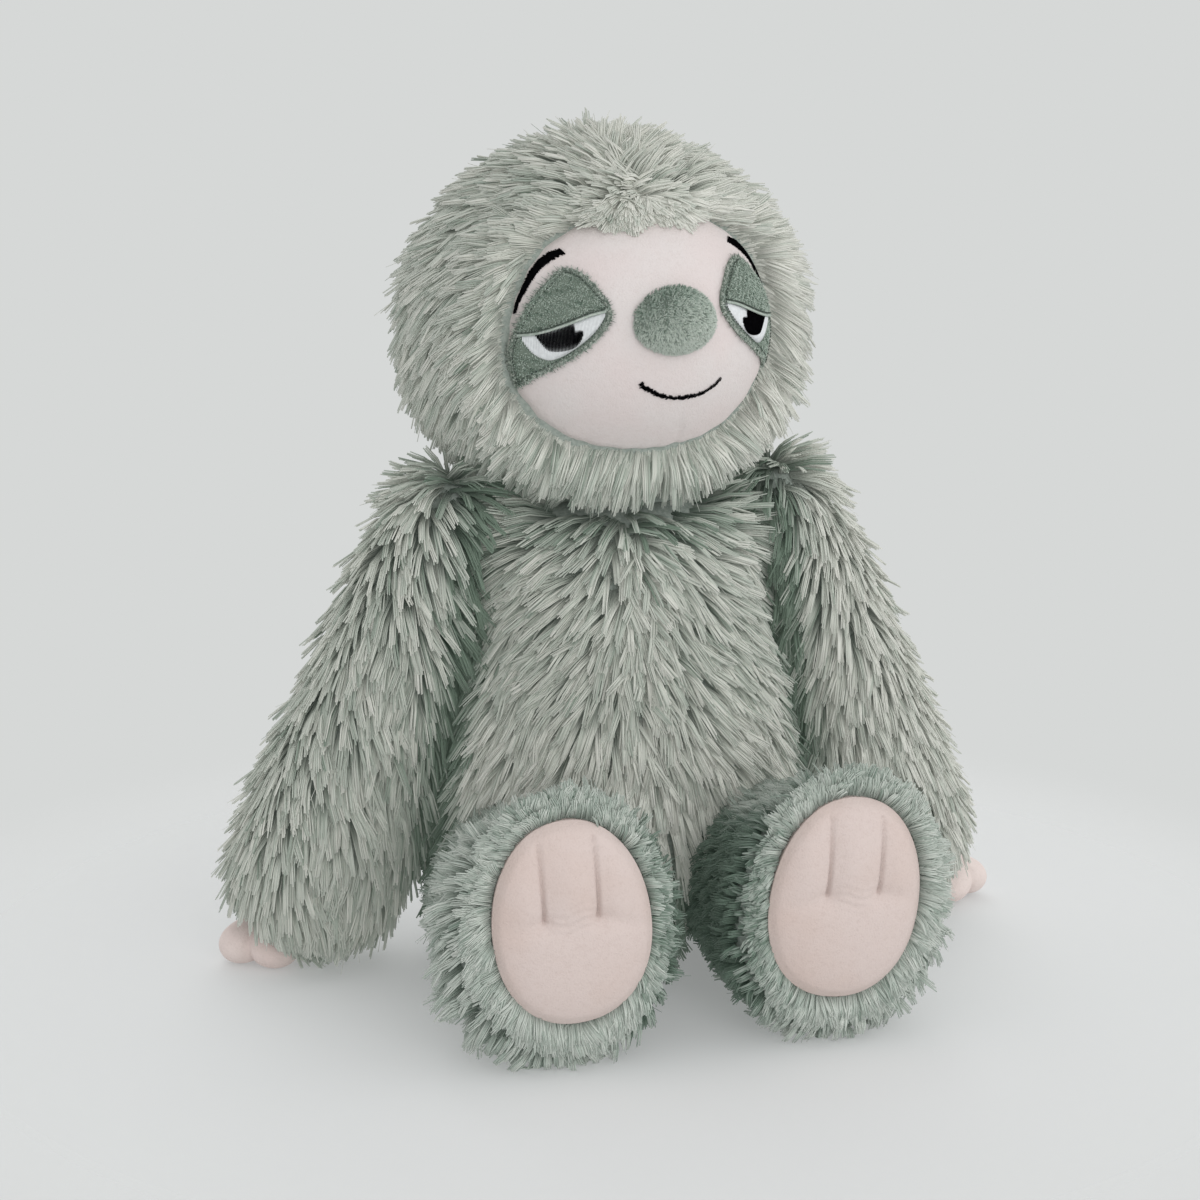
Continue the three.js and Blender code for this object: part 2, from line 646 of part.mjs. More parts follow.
const head = new THREE.Group();
head.position.copy(neckPlace);
head.rotation.order = 'ZYX';
head.rotation.z = THREE.MathUtils.degToRad(HEAD_TURN);
head.rotation.y = THREE.MathUtils.degToRad(HEAD_TILT);
head.add(
  piece('head_fur', headFur(), furLook),
  piece('head_stuffing', headStuffing(), fillLook),
  piece('face_panel', facePanel(), paleLook),
  piece('nose', nose(), feltLook),
  piece('mouth', mouth(), blackLook),
  ...eyePieces(LEFT, 'left'),
  ...eyePieces(RIGHT, 'right'),
);
toy.add(head);

for (const [hand, name] of [[LEFT, 'left'], [RIGHT, 'right']]) {
  toy.add(...armPieces(hand, name), ...legPieces(hand, name));
}

export default toy;
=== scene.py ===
"""A seated plush sloth: long clumped fur over padded skins, a padded face with stitched eyes,
padded soles and paws. Forms are worked out in millimetres, in the frame of the CAD part."""

import math

import bpy
import numpy as np
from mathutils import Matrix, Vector


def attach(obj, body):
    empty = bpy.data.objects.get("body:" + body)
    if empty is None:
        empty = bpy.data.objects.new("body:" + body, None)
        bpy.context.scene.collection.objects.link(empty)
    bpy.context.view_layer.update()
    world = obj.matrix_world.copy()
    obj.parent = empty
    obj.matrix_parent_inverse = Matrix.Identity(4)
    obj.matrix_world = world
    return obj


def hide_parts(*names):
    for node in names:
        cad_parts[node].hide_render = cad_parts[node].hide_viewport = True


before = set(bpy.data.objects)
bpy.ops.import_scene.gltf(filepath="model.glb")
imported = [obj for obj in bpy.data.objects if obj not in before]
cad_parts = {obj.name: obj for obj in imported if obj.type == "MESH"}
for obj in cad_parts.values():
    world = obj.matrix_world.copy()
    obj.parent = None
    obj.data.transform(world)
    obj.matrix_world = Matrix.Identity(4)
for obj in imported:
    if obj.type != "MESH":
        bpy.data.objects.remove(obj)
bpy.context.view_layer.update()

MM = 0.001
LEFT, RIGHT = 1, -1
SIDES = ((LEFT, "left"), (RIGHT, "right"))
BACKING = 6.0  # how far the backing of the fur lies inside the mean face of the pile
EVEN_STEPS = (0.7548776662, 0.5698402910)  # of the golden ratio's sequence for two dimensions
random = np.random.default_rng(7)


# Small numeric helpers

def unit(v):
    return v / np.maximum(np.linalg.norm(v, axis=-1, keepdims=True), 1e-9)


def dot(a, b):
    return (a * b).sum(-1, keepdims=True)


def smoothstep(low, high, x):
    """0 up to low, 1 from high on, and an eased rise between them."""
    s = np.clip((x - low) / (high - low), 0, 1)
    return s * s * (3 - 2 * s)


def bell(x, width):
    """A bell curve: 1 in the middle, and about a third of it one width away."""
    return np.exp(-(x / width)**2)


def full_turn(sides):
    """Angles at even steps round a full turn."""
    return np.arange(sides) / sides * 2 * np.pi


def ring_grid(levels, sides):
    """A grid of the levels by the angles round a full turn."""
    return np.meshgrid(levels, full_turn(sides), indexing="ij")


def follow(keys, values, t):
    """Values at t on a smooth curve through the keys: between two keys runs a cubic whose
    slope at each key is the one between the key's neighbours."""
    keys, values, t = (np.asarray(part, float) for part in (keys, values, t))
    slopes = np.gradient(values, keys, axis=0)
    t = np.clip(t, keys[0], keys[-1])
    i = np.clip(np.searchsorted(keys, t, side="right") - 1, 0, len(keys) - 2)
    span = keys[i + 1] - keys[i]
    s = (t - keys[i]) / span
    if values.ndim > 1:
        s, span = s[..., None], span[..., None]
    return (
        values[i] * (2 * s**3 - 3 * s**2 + 1) + slopes[i] * span * (s**3 - 2 * s**2 + s)
        + values[i + 1] * (3 * s**2 - 2 * s**3) + slopes[i + 1] * span * (s**3 - s**2)
    )


def waves(points, scale, seed):
    """Three smooth numbers of about -1 to 1 at each point: each is the mean of five sine waves
    of about the given length that run in different directions."""
    rng = np.random.default_rng(seed)
    runs = rng.normal(size=(3, 5, 3))
    runs = unit(runs) * rng.uniform(0.7, 1.4, (3, 5, 1)) * 2 * np.pi / scale
    phases = rng.uniform(0, 2 * np.pi, (3, 5))
    return np.sin(np.einsum("nj,abj->nab", points, runs) + phases).mean(-1) * 1.6


# Places that several pieces share

NECK = np.array([0.0, 4, 160])
HEAD_TILT, HEAD_TURN = -2.5, 5.5  # degrees
ARM_SPLAY, ARM_TOE = 8, 14  # degrees that a shoulder's axis leans up and to the back
HIP = np.array([47.0, -36, 37])
HIP_RANGE = (-10, 80)  # degrees
HIP_ROOM = 1.5  # between the swept leg and its pocket in the body
LEG_ROOT, LEG_END = -6, -122  # where the leg starts and ends along the toy's depth
FOOT_CENTRE = np.array([50.0, 0, 57])
FOOT_ROLL = 7  # degrees that the soles lean outwards
PAW_PLACE = np.array([139.0, 21, 9.6])
LEFT_PAW_SHIFT = np.array([12.5, 2, 0.5])  # the left paw lies further out, as in the photograph
SEWN_INSET = 1.5  # how far an arm's skin stands off the plane that it is sewn along


def mirrored(place, hand):
    """The same place on the given side of the toy, from the one on its left."""
    return place * [hand, 1, 1]


# Forms of the body, the head and the limbs

class Form:
    """A form that swells along a path: at each row of its table an ellipse of two half sizes
    stands square to one direction. The rows are joined by a smooth curve in both senses."""

    def __init__(self, knots, along, half, rows, flat_start=False, flat_end=False):
        knots = np.array(knots, float)
        steps = np.linalg.norm(np.diff(knots, axis=0), axis=1)
        self.length = steps.sum()
        self.knots, self.knot_keys = knots, np.concatenate([[0], steps.cumsum()]) / self.length
        self.along = unit(np.array(along, float))
        across = np.array([1.0, 0, 0])
        self.across = unit(across - (across @ self.along) * self.along)
        self.depth = np.cross(self.along, self.across)
        self.half = half
        rows = [tuple(row) for row in rows]
        rows = rows if flat_start else [(0, 0, 0)] + rows
        rows = rows if flat_end else rows + [(1, 0, 0)]
        self.rows = np.array(rows, float)
        chords = np.diff(self.rows * [self.length, half[0], half[1]], axis=0)
        keys = np.concatenate([[0], np.linalg.norm(chords, axis=1).cumsum()])
        self.keys = keys / keys[-1]

    def axis(self, share):
        inside = np.clip(share, 0, 1)
        place = follow(self.knot_keys, self.knots, inside)
        return place + ((share - inside) * self.length)[..., None] * self.along

    def at(self, q, angle, grow=0.0):
        share, wide, deep = np.moveaxis(follow(self.keys, self.rows, q), -1, 0)
        share = (share * (self.length + 2 * grow) - grow) / self.length
        return (
            self.axis(share)
            + ((self.half[0] + grow) * wide * np.cos(angle))[..., None] * self.across
            + ((self.half[1] + grow) * deep * np.sin(angle))[..., None] * self.depth
        )

    def normal(self, q, angle, grow=0.0):
        step = 2e-3
        low, high = np.clip(q - step, 0, 1), np.clip(q + step, 0, 1)
        along = self.at(high, angle, grow) - self.at(low, angle, grow)
        around = self.at(q, angle + step, grow) - self.at(q, angle - step, grow)
        return unit(np.cross(around, along))

    def mesh_places(self, rows, sides):
        return ring_grid(np.linspace(0, 1, rows), sides)

    def grid(self, rows, sides, grow=0.0):
        return self.at(*self.mesh_places(rows, sides), grow)

    def scatter(self, count):
        """Evenly spread places: a sequence of even steps in two dimensions, mapped so that
        equal areas get equally many, then moved at random by a third of their spacing."""
        fine = np.linspace(0, 1, 400)
        share, wide, deep = np.moveaxis(follow(self.keys, self.rows, fine), -1, 0)
        girth = (wide * self.half[0] + deep * self.half[1]) / 2
        step = np.hypot(np.diff(share * self.length), np.diff(girth))
        area = np.concatenate([[0], (step * (girth[1:] + girth[:-1]) / 2).cumsum()])
        i = np.arange(count)
        jitter = random.uniform(-0.5, 0.5, (2, count)) * 0.66 / math.sqrt(count)
        u = (0.5 + i * EVEN_STEPS[0] + jitter[0]) % 1
        v = (0.5 + i * EVEN_STEPS[1] + jitter[1]) % 1
        return np.interp(u, area / area[-1], fine), v * 2 * np.pi


body_form = Form(
    [(0, 0, -0.5), (0, 0, 64), (0, 4, 192)], (0, 0, 1), (73, 58),
    [(0, 0.8, 0.74), (0.035, 0.91, 0.87), (0.1, 0.985, 0.965), (0.2, 1, 1), (0.33, 0.99, 0.995),
     (0.46, 0.94, 0.95), (0.59, 0.875, 0.875), (0.72, 0.8, 0.785), (0.82, 0.755, 0.715),
     (0.9, 0.705, 0.63), (0.955, 0.6, 0.51), (0.988, 0.4, 0.33)],
    flat_start=True,
)
head_form = Form(
    [(0, 4, 23.5), (0, 4, 161.5)], (0, 0, 1), (77, 67),
    [(0.015, 0.25, 0.25), (0.06, 0.5, 0.5), (0.13, 0.7, 0.69), (0.22, 0.86, 0.85),
     (0.33, 0.965, 0.955), (0.45, 1, 1), (0.57, 0.99, 0.995), (0.68, 0.93, 0.94),
     (0.78, 0.825, 0.84), (0.87, 0.67, 0.68), (0.94, 0.47, 0.48), (0.985, 0.24, 0.245)],
)
ARM_ROWS = [
    (0.015, 0.24, 0.27), (0.055, 0.43, 0.5), (0.12, 0.58, 0.69), (0.2, 0.67, 0.79),
    (0.32, 0.77, 0.87), (0.46, 0.83, 0.93), (0.6, 0.94, 0.985), (0.74, 1, 1),
    (0.85, 0.985, 0.96), (0.925, 0.82, 0.79), (0.98, 0.47, 0.45),
]
LEG_ROWS = [
    (0.015, 0.25, 0.22), (0.055, 0.46, 0.41), (0.12, 0.64, 0.57), (0.2, 0.75, 0.67),
    (0.3, 0.81, 0.73), (0.42, 0.85, 0.78), (0.55, 0.9, 0.84), (0.68, 0.955, 0.92),
    (0.79, 0.995, 0.98), (0.87, 1, 1), (0.945, 0.97, 0.97), (1, 0.86, 0.885),
]


def arm_form(hand):
    top, end = np.array([hand * 60.0, 4, 198]), np.array([hand * 130.0, 15, 6])
    return Form([top, end], end - top, (34, 33), ARM_ROWS)


def leg_form(hand):
    knots = [
        (hand * HIP[0], LEG_ROOT, HIP[2]), (hand * HIP[0], -66, 41),
        (hand * FOOT_CENTRE[0], -106, 48), (hand * FOOT_CENTRE[0], LEG_END, 53.5),
    ]
    return Form(knots, (0, -1, 0), (41, 48.5), LEG_ROWS, flat_end=True)


def turned(points, axis, degrees):
    """Points turned about the origin, by Rodrigues' formula."""
    axis, angle = np.array(axis, float), math.radians(degrees)
    cross = np.cross(axis, points)
    along = np.outer(points @ axis, axis)
    return points * math.cos(angle) + cross * math.sin(angle) + along * (1 - math.cos(angle))


def head_direction(vectors):
    """From the head's own frame to the toy's frame: tilted, then turned."""
    return turned(turned(vectors, (0, 1, 0), HEAD_TILT), (0, 0, 1), HEAD_TURN)


def head_place(points):
    """The same for places, which the head's own frame counts from the neck."""
    return (head_direction(points.reshape(-1, 3)) + NECK).reshape(points.shape)


def shoulder_axis(hand):
    splay, toe = math.radians(ARM_SPLAY), math.radians(ARM_TOE)
    level = math.cos(splay)
    return np.array([hand * math.cos(toe) * level, math.sin(toe) * level, math.sin(splay)])


# The plane that each arm is sewn along, as its distance from the origin
sewn_plane = float((body_form.grid(120, 120) @ shoulder_axis(LEFT)).max()) + 0.3


# Meshes

def make_mesh(name, points, faces, material, uv=None):
    """A closed mesh from points in millimetres, with smooth faces and its own UV where given."""
    mesh = bpy.data.meshes.new(name)
    flat = np.concatenate([np.asarray(part, np.int32).reshape(-1) for part in faces])
    sizes = np.concatenate([np.full(len(part), np.shape(part)[1], np.int32) for part in faces])
    starts = np.concatenate([[0], sizes.cumsum()[:-1]]).astype(np.int32)
    mesh.vertices.add(len(points))
    mesh.vertices.foreach_set("co", (points * MM).astype(np.float32).reshape(-1))
    mesh.loops.add(len(flat))
    mesh.loops.foreach_set("vertex_index", flat)
    mesh.polygons.add(len(sizes))
    mesh.polygons.foreach_set("loop_start", starts)
    mesh.polygons.foreach_set("loop_total", sizes)
    mesh.polygons.foreach_set("use_smooth", np.ones(len(sizes), bool))
    if uv is not None:
        layer = mesh.uv_layers.new(name="OFBake")
        layer.data.foreach_set("uv", uv[flat].astype(np.float32).reshape(-1))
    mesh.update(calc_edges=True)
    mesh.validate()
    mesh.materials.append(material)
    piece = bpy.data.objects.new(name, mesh)
    bpy.context.scene.collection.objects.link(piece)
    return piece


def closed_grid(grid):
    """Rings of points, from a first pole to a last one, as points and faces. Each ring is
    joined to the next by squares, and the end rings to their middles by triangles."""
    rows, sides = grid.shape[:2]
    points = np.concatenate([grid.reshape(-1, 3), [grid[0].mean(0), grid[-1].mean(0)]])
    i, j = np.meshgrid(np.arange(rows - 1), np.arange(sides), indexing="ij")
    low, low_next = i * sides + j, i * sides + (j + 1) % sides
    squares = np.stack([low, low_next, low_next + sides, low + sides], -1).reshape(-1, 4)
    ring = np.arange(sides)
    after = (ring + 1) % sides
    first, last = rows * sides, rows * sides + 1
    end = (rows - 1) * sides
    fans = np.concatenate([
        np.stack([np.full(sides, first), after, ring], -1),
        np.stack([np.full(sides, last), end + ring, end + after], -1),
    ])
    return points, [squares, fans]


ODD_WAY = np.array([0.31, -0.87, 0.38])  # a direction that no strand or thread runs along
UV_SPAN = 0.96


def rods(paths, radii, sides, shades=None, foot=0.0, blunt=False):
    """Closed tapered rods along many paths at once (rods, places, 3): rings of a few sides
    about each place, and a lid over the first ring. The last place is a tip, or a ring with a
    lid where the rods are blunt. radii holds a half width for each place of each rod. The UV,
    kept clear of the map's edges, gives a rod's shade across and the way from root to tip up,
    which starts at foot."""
    count, places = paths.shape[:2]
    rings = places if blunt else places - 1
    ahead = unit(np.gradient(paths, axis=1))[:, :rings]
    reference = unit(paths[:, -1] - paths[:, 0])
    side = np.cross(reference, ODD_WAY)[:, None]
    side = unit(side - dot(side, ahead) * ahead)
    other = np.cross(ahead, side)
    angle = full_turn(sides)[:, None]
    spread = np.cos(angle) * side[:, :, None] + np.sin(angle) * other[:, :, None]
    points = paths[:, :rings, None] + radii[:, :rings, None, None] * spread
    points = np.concatenate([points.reshape(count, rings * sides, 3), paths[:, rings:]], 1)
    stride = points.shape[1]
    base = (np.arange(count) * stride)[:, None, None]
    i, j = np.meshgrid(np.arange(rings - 1), np.arange(sides), indexing="ij")
    low, after = i * sides + j, i * sides + (j + 1) % sides
    squares = np.stack([low, after, after + sides, low + sides], -1).reshape(1, -1, 4)
    ring = np.arange(sides)
    top = (rings - 1) * sides
    tips = np.stack([top + ring, top + (ring + 1) % sides, np.full(sides, stride - 1)], -1)[None]
    tips = (top + ring)[None, None] if blunt else tips
    lid = ring[::-1][None, None]
    faces = [(base + part).reshape(-1, part.shape[-1]) for part in (squares, tips, lid)]
    if shades is None:
        shades = np.zeros(count)
    along = np.linalg.norm(np.diff(paths, axis=1), axis=2).cumsum(1)
    way = np.concatenate([np.zeros((count, 1)), along / along[:, -1:]], 1)
    foot = np.broadcast_to(foot, count)[:, None]
    way = foot + (1 - foot) * way
    u = shades[:, None, None] * UV_SPAN + 0.01 + ring * 0.006 + np.zeros((count, rings, 1))
    v = way[:, :rings, None] * UV_SPAN + 0.01 + (ring % 2) * 0.01
    uv = np.stack([u, np.broadcast_to(v, u.shape)], -1).reshape(count, rings * sides, 2)
    tip = np.stack([shades * UV_SPAN + 0.016, np.full(count, 0.99)], -1)[:, None]
    uv = np.concatenate([uv, tip[:, :places - rings]], 1)
    return points.reshape(-1, 3), faces, uv.reshape(-1, 2)


# Materials

class Wire:
    """One output of a node in a material's tree. Python's operators add math nodes."""

    def __init__(self, socket):
        self.socket = socket

    def math(self, operation, first, second):
        sockets = {0: first, 1: second}
        return node(self.socket.id_data, "ShaderNodeMath", {"operation": operation}, sockets)

    def __add__(self, other):
        return self.math("ADD", self, other)

    def __radd__(self, other):
        return self.math("ADD", other, self)

    def __mul__(self, other):
        return self.math("MULTIPLY", self, other)

    def __rmul__(self, other):
        return self.math("MULTIPLY", other, self)


def node(tree, kind, settings=None, sockets=None, output=0):
    """Adds any node: its settings first, then its input sockets, by name or number."""
    made = tree.nodes.new(kind)
    for key, value in (settings or {}).items():
        setattr(made, key, value)
    for key, value in (sockets or {}).items():
        if isinstance(value, Wire):
            tree.links.new(value.socket, made.inputs[key])
        else:
            made.inputs[key].default_value = value
    return Wire(made.outputs[output])


def ramp(tree, factor, stops):
    """Colours along a factor from 0 to 1, eased between the stops."""
    wire = node(tree, "ShaderNodeValToRGB", None, {"Fac": factor})
    elements = wire.socket.node.color_ramp.elements
    wire.socket.node.color_ramp.interpolation = "B_SPLINE" if len(stops) > 3 else "EASE"
    while len(elements) < len(stops):
        elements.new(0.5)
    for element, (place, colour) in zip(elements, stops):
        element.position = place
        element.color = (*colour, 1)
    return wire


def mask(tree, factor, low, high):
    """Black up to low, white from high on."""
    return ramp(tree, factor, [(low, (0, 0, 0)), (high, (1, 1, 1))])


def mix(tree, factor, first, second, blend="MIX"):
    settings = {"data_type": "RGBA", "blend_type": blend}
    return node(tree, "ShaderNodeMix", settings, {0: factor, 6: first, 7: second}, output=2)


def noise(tree, vector, scale, detail=2.0, roughness=0.5):
    sockets = {"Vector": vector, "Scale": scale, "Detail": detail, "Roughness": roughness}
    return node(tree, "ShaderNodeTexNoise", None, sockets)


def colour(red, green, blue, alpha=None):
    """A display colour from 0 to 255 as linear light."""
    linear = tuple(
        ((level / 255 + 0.055) / 1.055) ** 2.4 if level > 10 else level / 255 / 12.92
        for level in (red, green, blue)
    )
    return linear if alpha is None else (*linear, alpha)


def surface(name, build):
    """A material whose tree build fills, given the tree and its Principled node."""
    material = bpy.data.materials.new(name)
    material.use_nodes = True
    tree = material.node_tree
    shader = tree.nodes["Principled BSDF"]
    for key, value in (build(tree) or {}).items():
        if isinstance(value, Wire):
            tree.links.new(value.socket, shader.inputs[key])
        else:
            shader.inputs[key].default_value = value
    return material


def object_place(tree):
    return node(tree, "ShaderNodeTexCoord", None, None, output=3)


def bump(tree, height, strength, distance):
    sockets = {"Height": height, "Strength": strength, "Distance": distance}
    return node(tree, "ShaderNodeBump", None, sockets)


LIGHT_THROUGH = 0.135  # stands for the light that passes through the fibres into the pile
# Colours that multiply the pile by each strand's tone. The tone holds painted shade and painted
# light as well as tone that differs at random. The dark green end is painted shade, used in
# creases, under the arms and chin and between the legs.
STRAND_TONE_AND_SHADE = [
    (0.0, colour(104, 128, 112)), (0.22, colour(192, 203, 195)), (0.55, colour(234, 236, 231)),
    (1.0, colour(250, 250, 247)),
]


def fur_look(root, low, middle, tip):
    """Pile that is dark and green at the root and pale at the tip, as four display colours.
    The piece's UV holds the strand's tone, with its painted shade and light, across and the way
    to its tip up. The pile glows faintly: painted light that stands for the light passing
    through the fibres."""
    def build(tree):
        place = node(tree, "ShaderNodeUVMap", {"uv_map": "OFBake"})
        split = {"kind": "ShaderNodeSeparateXYZ", "settings": None, "sockets": {0: place}}
        shade, way = node(tree, **split), node(tree, **split, output=1)
        along = ramp(tree, way, [
            (0.0, colour(*root)), (0.28, colour(*low)), (0.6, colour(*middle)),
            (0.95, colour(*tip)),
        ])
        shown = mix(tree, 1.0, along, ramp(tree, shade, STRAND_TONE_AND_SHADE), "MULTIPLY")
        return {
            "Base Color": shown, "Roughness": 0.8, "Specular IOR Level": 0.15, "Sheen Weight": 0.15,
            "Sheen Roughness": 0.5, "Sheen Tint": colour(220, 224, 220, 1),
            "Emission Color": shown, "Emission Strength": LIGHT_THROUGH,
        }
    return build


NAP_DEPTH = 0.0006  # metres


def plush_look(main, blush, shadow, grain=1.0):
    """Short brushed pile: a fine nap whose hollows are painted in the shadow colour, as painted
    shade, soft patches of a second colour, and sheen.
    """
    main, blush, shadow = (colour(*tone, 1) for tone in (main, blush, shadow))

    def build(tree):
        place = object_place(tree)
        patches = noise(tree, place, 26, 3)
        nap = noise(tree, place, 1500 * grain, 2, 0.6)
        rows = noise(tree, place, 420 * grain, 2, 0.6)
        base = mix(tree, mask(tree, patches, 0.36, 0.66), main, blush)
        # The nap's hollows take on the shadow colour: painted shade.
        fine = mask(tree, nap * 0.6 + rows * 0.4, 0.3, 0.55)
        return {
            "Base Color": mix(tree, fine, mix(tree, 0.35, base, shadow), base), "Roughness": 0.9,
            "Specular IOR Level": 0.15, "Sheen Weight": 0.5, "Sheen Roughness": 0.5,
            "Sheen Tint": main, "Normal": bump(tree, nap * 0.7 + rows * 0.6, 0.55, NAP_DEPTH),
        }
    return build


def thread_look(main, light, gloss=0.3):
    """Lustrous thread: streaks of a lighter tone and a low roughness."""
    main, light = colour(*main, 1), colour(*light, 1)

    def build(tree):
        streaks = noise(tree, object_place(tree), 900, 2)
        return {
            "Base Color": mix(tree, mask(tree, streaks, 0.35, 0.7), main, light),
            "Roughness": 0.55, "Specular IOR Level": gloss, "Sheen Weight": gloss / 3,
        }
    return build


def fibre_look(main, other, scale):
    """Matted or loose fibre: two tones in fine noise, with a matching bump."""
    main, other = colour(*main, 1), colour(*other, 1)

    def build(tree):
        fibres = noise(tree, object_place(tree), scale, 4, 0.65)
        return {
            "Base Color": mix(tree, mask(tree, fibres, 0.35, 0.65), main, other),
            "Roughness": 0.95, "Specular IOR Level": 0.1,
            "Normal": bump(tree, fibres, 0.5, NAP_DEPTH),
        }
    return build


fur = surface("sage_fur", fur_look(
    (136, 146, 139), (175, 178, 173), (206, 206, 201), (222, 221, 217)))
foot_fur = surface("sage_fur_short", fur_look(
    (120, 132, 125), (154, 162, 156), (186, 191, 187), (214, 217, 214)))
nose_nap = surface("nose_nap", fur_look(
    (138, 150, 141), (162, 173, 165), (186, 195, 188), (206, 213, 208)))
lid_nap = surface("lid_nap", fur_look(
    (84, 98, 89), (122, 137, 127), (172, 184, 176), (200, 210, 203)))
pale_plush = surface("pale_plush", plush_look(
    (208, 202, 200), (208, 198, 196), (194, 183, 179)))
sole_plush = surface("sole_plush", plush_look(
    (201, 187, 182), (197, 180, 173), (182, 165, 158)))
paw_plush = surface("paw_plush", plush_look(
    (216, 203, 198), (213, 196, 191), (192, 178, 171)))
nose_plush = surface("nose_plush", plush_look(
    (150, 160, 151), (128, 140, 130), (98, 110, 100), 0.7))
lid_plush = surface("lid_plush", plush_look((126, 138, 127), (112, 124, 113), (86, 98, 88)))
backing = surface("fur_backing", fibre_look((158, 166, 159), (138, 147, 140), 700))
filling = surface("fibre_filling", fibre_look((236, 234, 228), (214, 210, 202), 260))
bag_cloth = surface("pellet_cloth", fibre_look((206, 202, 190), (176, 172, 160), 900))
green_thread = surface("green_thread", thread_look((156, 168, 158), (182, 191, 183)))
fringe_thread = surface("fringe_thread", thread_look((88, 102, 91), (186, 192, 183)))
dark_thread = surface("dark_green_thread", thread_look((48, 60, 52), (70, 82, 72)))
black_thread = surface("black_thread", thread_look((5, 5, 6), (10, 10, 12), 0))
white_thread = surface("white_thread", thread_look((216, 219, 220), (226, 229, 230)))

# The fillings and the pellet bag are the CAD's own solids
for name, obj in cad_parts.items():
    if "stuffing" in name or name == "seat_pellet_bag":
        obj.data.materials.clear()
        obj.data.materials.append(filling if "stuffing" in name else bag_cloth)


# The face's outline and the seams that the backing rises to

FACE_CENTRE = np.array([0.0, -2, 91])
FACE_BULGE = np.array([60.0, 65, 58])  # half sizes of the egg that the face is a cap of
FACE_HALF = [52, 43]
FACE_TUCK = 1.3  # how far the face sinks at its seam
SEAM_SINK = 2.0  # how far the backing lies under the bulge at that seam
FACE_OUTLINE = [
    (0, -1.03), (0.42, -0.97), (0.7, -0.81), (0.9, -0.55), (1, -0.22), (1, 0.1), (0.92, 0.42),
    (0.76, 0.72), (0.5, 0.93), (0.2, 0.99),
]
RIM_STEPS = 240


def smooth_loop(knots, count):
    """Evenly spaced points on a smooth closed curve through the knots, and their tangents."""
    knots = np.array(knots, float)
    wrapped = np.concatenate([knots[-3:], knots, knots[:3]])
    chords = np.linalg.norm(np.diff(wrapped, axis=0), axis=1)
    keys = np.concatenate([[0], np.sqrt(chords).cumsum()])
    fine = np.linspace(keys[3], keys[3 + len(knots)], 1200)
    curve = follow(keys, wrapped, fine)
    length = np.concatenate([[0], np.linalg.norm(np.diff(curve, axis=0), axis=1).cumsum()])
    even = np.interp(np.arange(count) / count * length[-1], length, fine)
    points = follow(keys, wrapped, even)
    tangents = unit(follow(keys, wrapped, even + 1e-3) - follow(keys, wrapped, even - 1e-3))
    return points, tangents


face_knots = np.array(FACE_OUTLINE + [(-x, z) for x, z in FACE_OUTLINE[:0:-1]]) * FACE_HALF
face_rim, face_tangents = smooth_loop(face_knots, RIM_STEPS)
face_angles = np.arctan2(face_rim[:, 1], face_rim[:, 0])
by_angle = np.argsort(face_angles)
face_angles, face_radii = face_angles[by_angle], np.linalg.norm(face_rim, axis=1)[by_angle]


def face_reach(x, z):
    """How far the face's outline lies from its middle on the way to x and z."""
    return np.interp(np.arctan2(z, x), face_angles, face_radii, period=2 * np.pi)


def on_face(x, z, rise=0.0):
    """The place above the face at x and z from its middle, raised square to the bulge. Near
    its seam the face is tucked in."""
    share = np.hypot(x, z) / face_reach(x, z)
    left = 1 - (x / FACE_BULGE[0])**2 - (z / FACE_BULGE[2])**2
    y = -FACE_BULGE[1] * np.sqrt(np.clip(left, 0.02, 1))
    place = np.stack(np.broadcast_arrays(x, y, z), -1)
    rise = rise - FACE_TUCK * smoothstep(0.93, 1.0, share)**2
    return FACE_CENTRE + place + unit(place / FACE_BULGE**2) * rise[..., None]


def past_seam(place):
    """How far outside the face's outline places in the head's frame lie, seen from ahead."""
    x, z = place[..., 0] - FACE_CENTRE[0], place[..., 2] - FACE_CENTRE[2]
    return np.hypot(x, z) - face_reach(x, z)


def head_surface(q, angle):
    """The backing of the head. It comes forward, or sinks, to meet the face's seam, and runs
    on behind the face."""
    place = head_form.at(q, angle, -BACKING)
    past = past_seam(place)
    x, z = place[..., 0] - FACE_CENTRE[0], place[..., 2] - FACE_CENTRE[2]
    held = np.minimum(1, face_reach(x, z) / np.maximum(np.hypot(x, z), 1))
    seam = on_face(x * held, z * held, FACE_TUCK - SEAM_SINK)[..., 1]
    seam = seam + 4.5 * smoothstep(0, -5, past)
    near = smoothstep(16, 0, past) * (place[..., 1] < 0)
    place[..., 1] += (seam - place[..., 1]) * near
    return place


def leg_surface(hand, q, angle):
    """The backing of the leg: it rises to the sole's seam."""
    form = leg_form(hand)
    front = smoothstep(-96, -112, form.at(q, angle, -BACKING)[..., 1])
    return form.at(q, angle, -BACKING + 3.0 * front)


def surface_normal(place, q, angle):
    """The outward normal of a surface of two parameters, from how its place changes along
    each."""
    step = 2e-3
    along = place(np.clip(q + step, 0, 1), angle) - place(np.clip(q - step, 0, 1), angle)
    around = place(q, angle + step) - place(q, angle - step)
    return unit(np.cross(around, along))


# Padded skins under the fur

FAR_OUTSIDE = -9.0


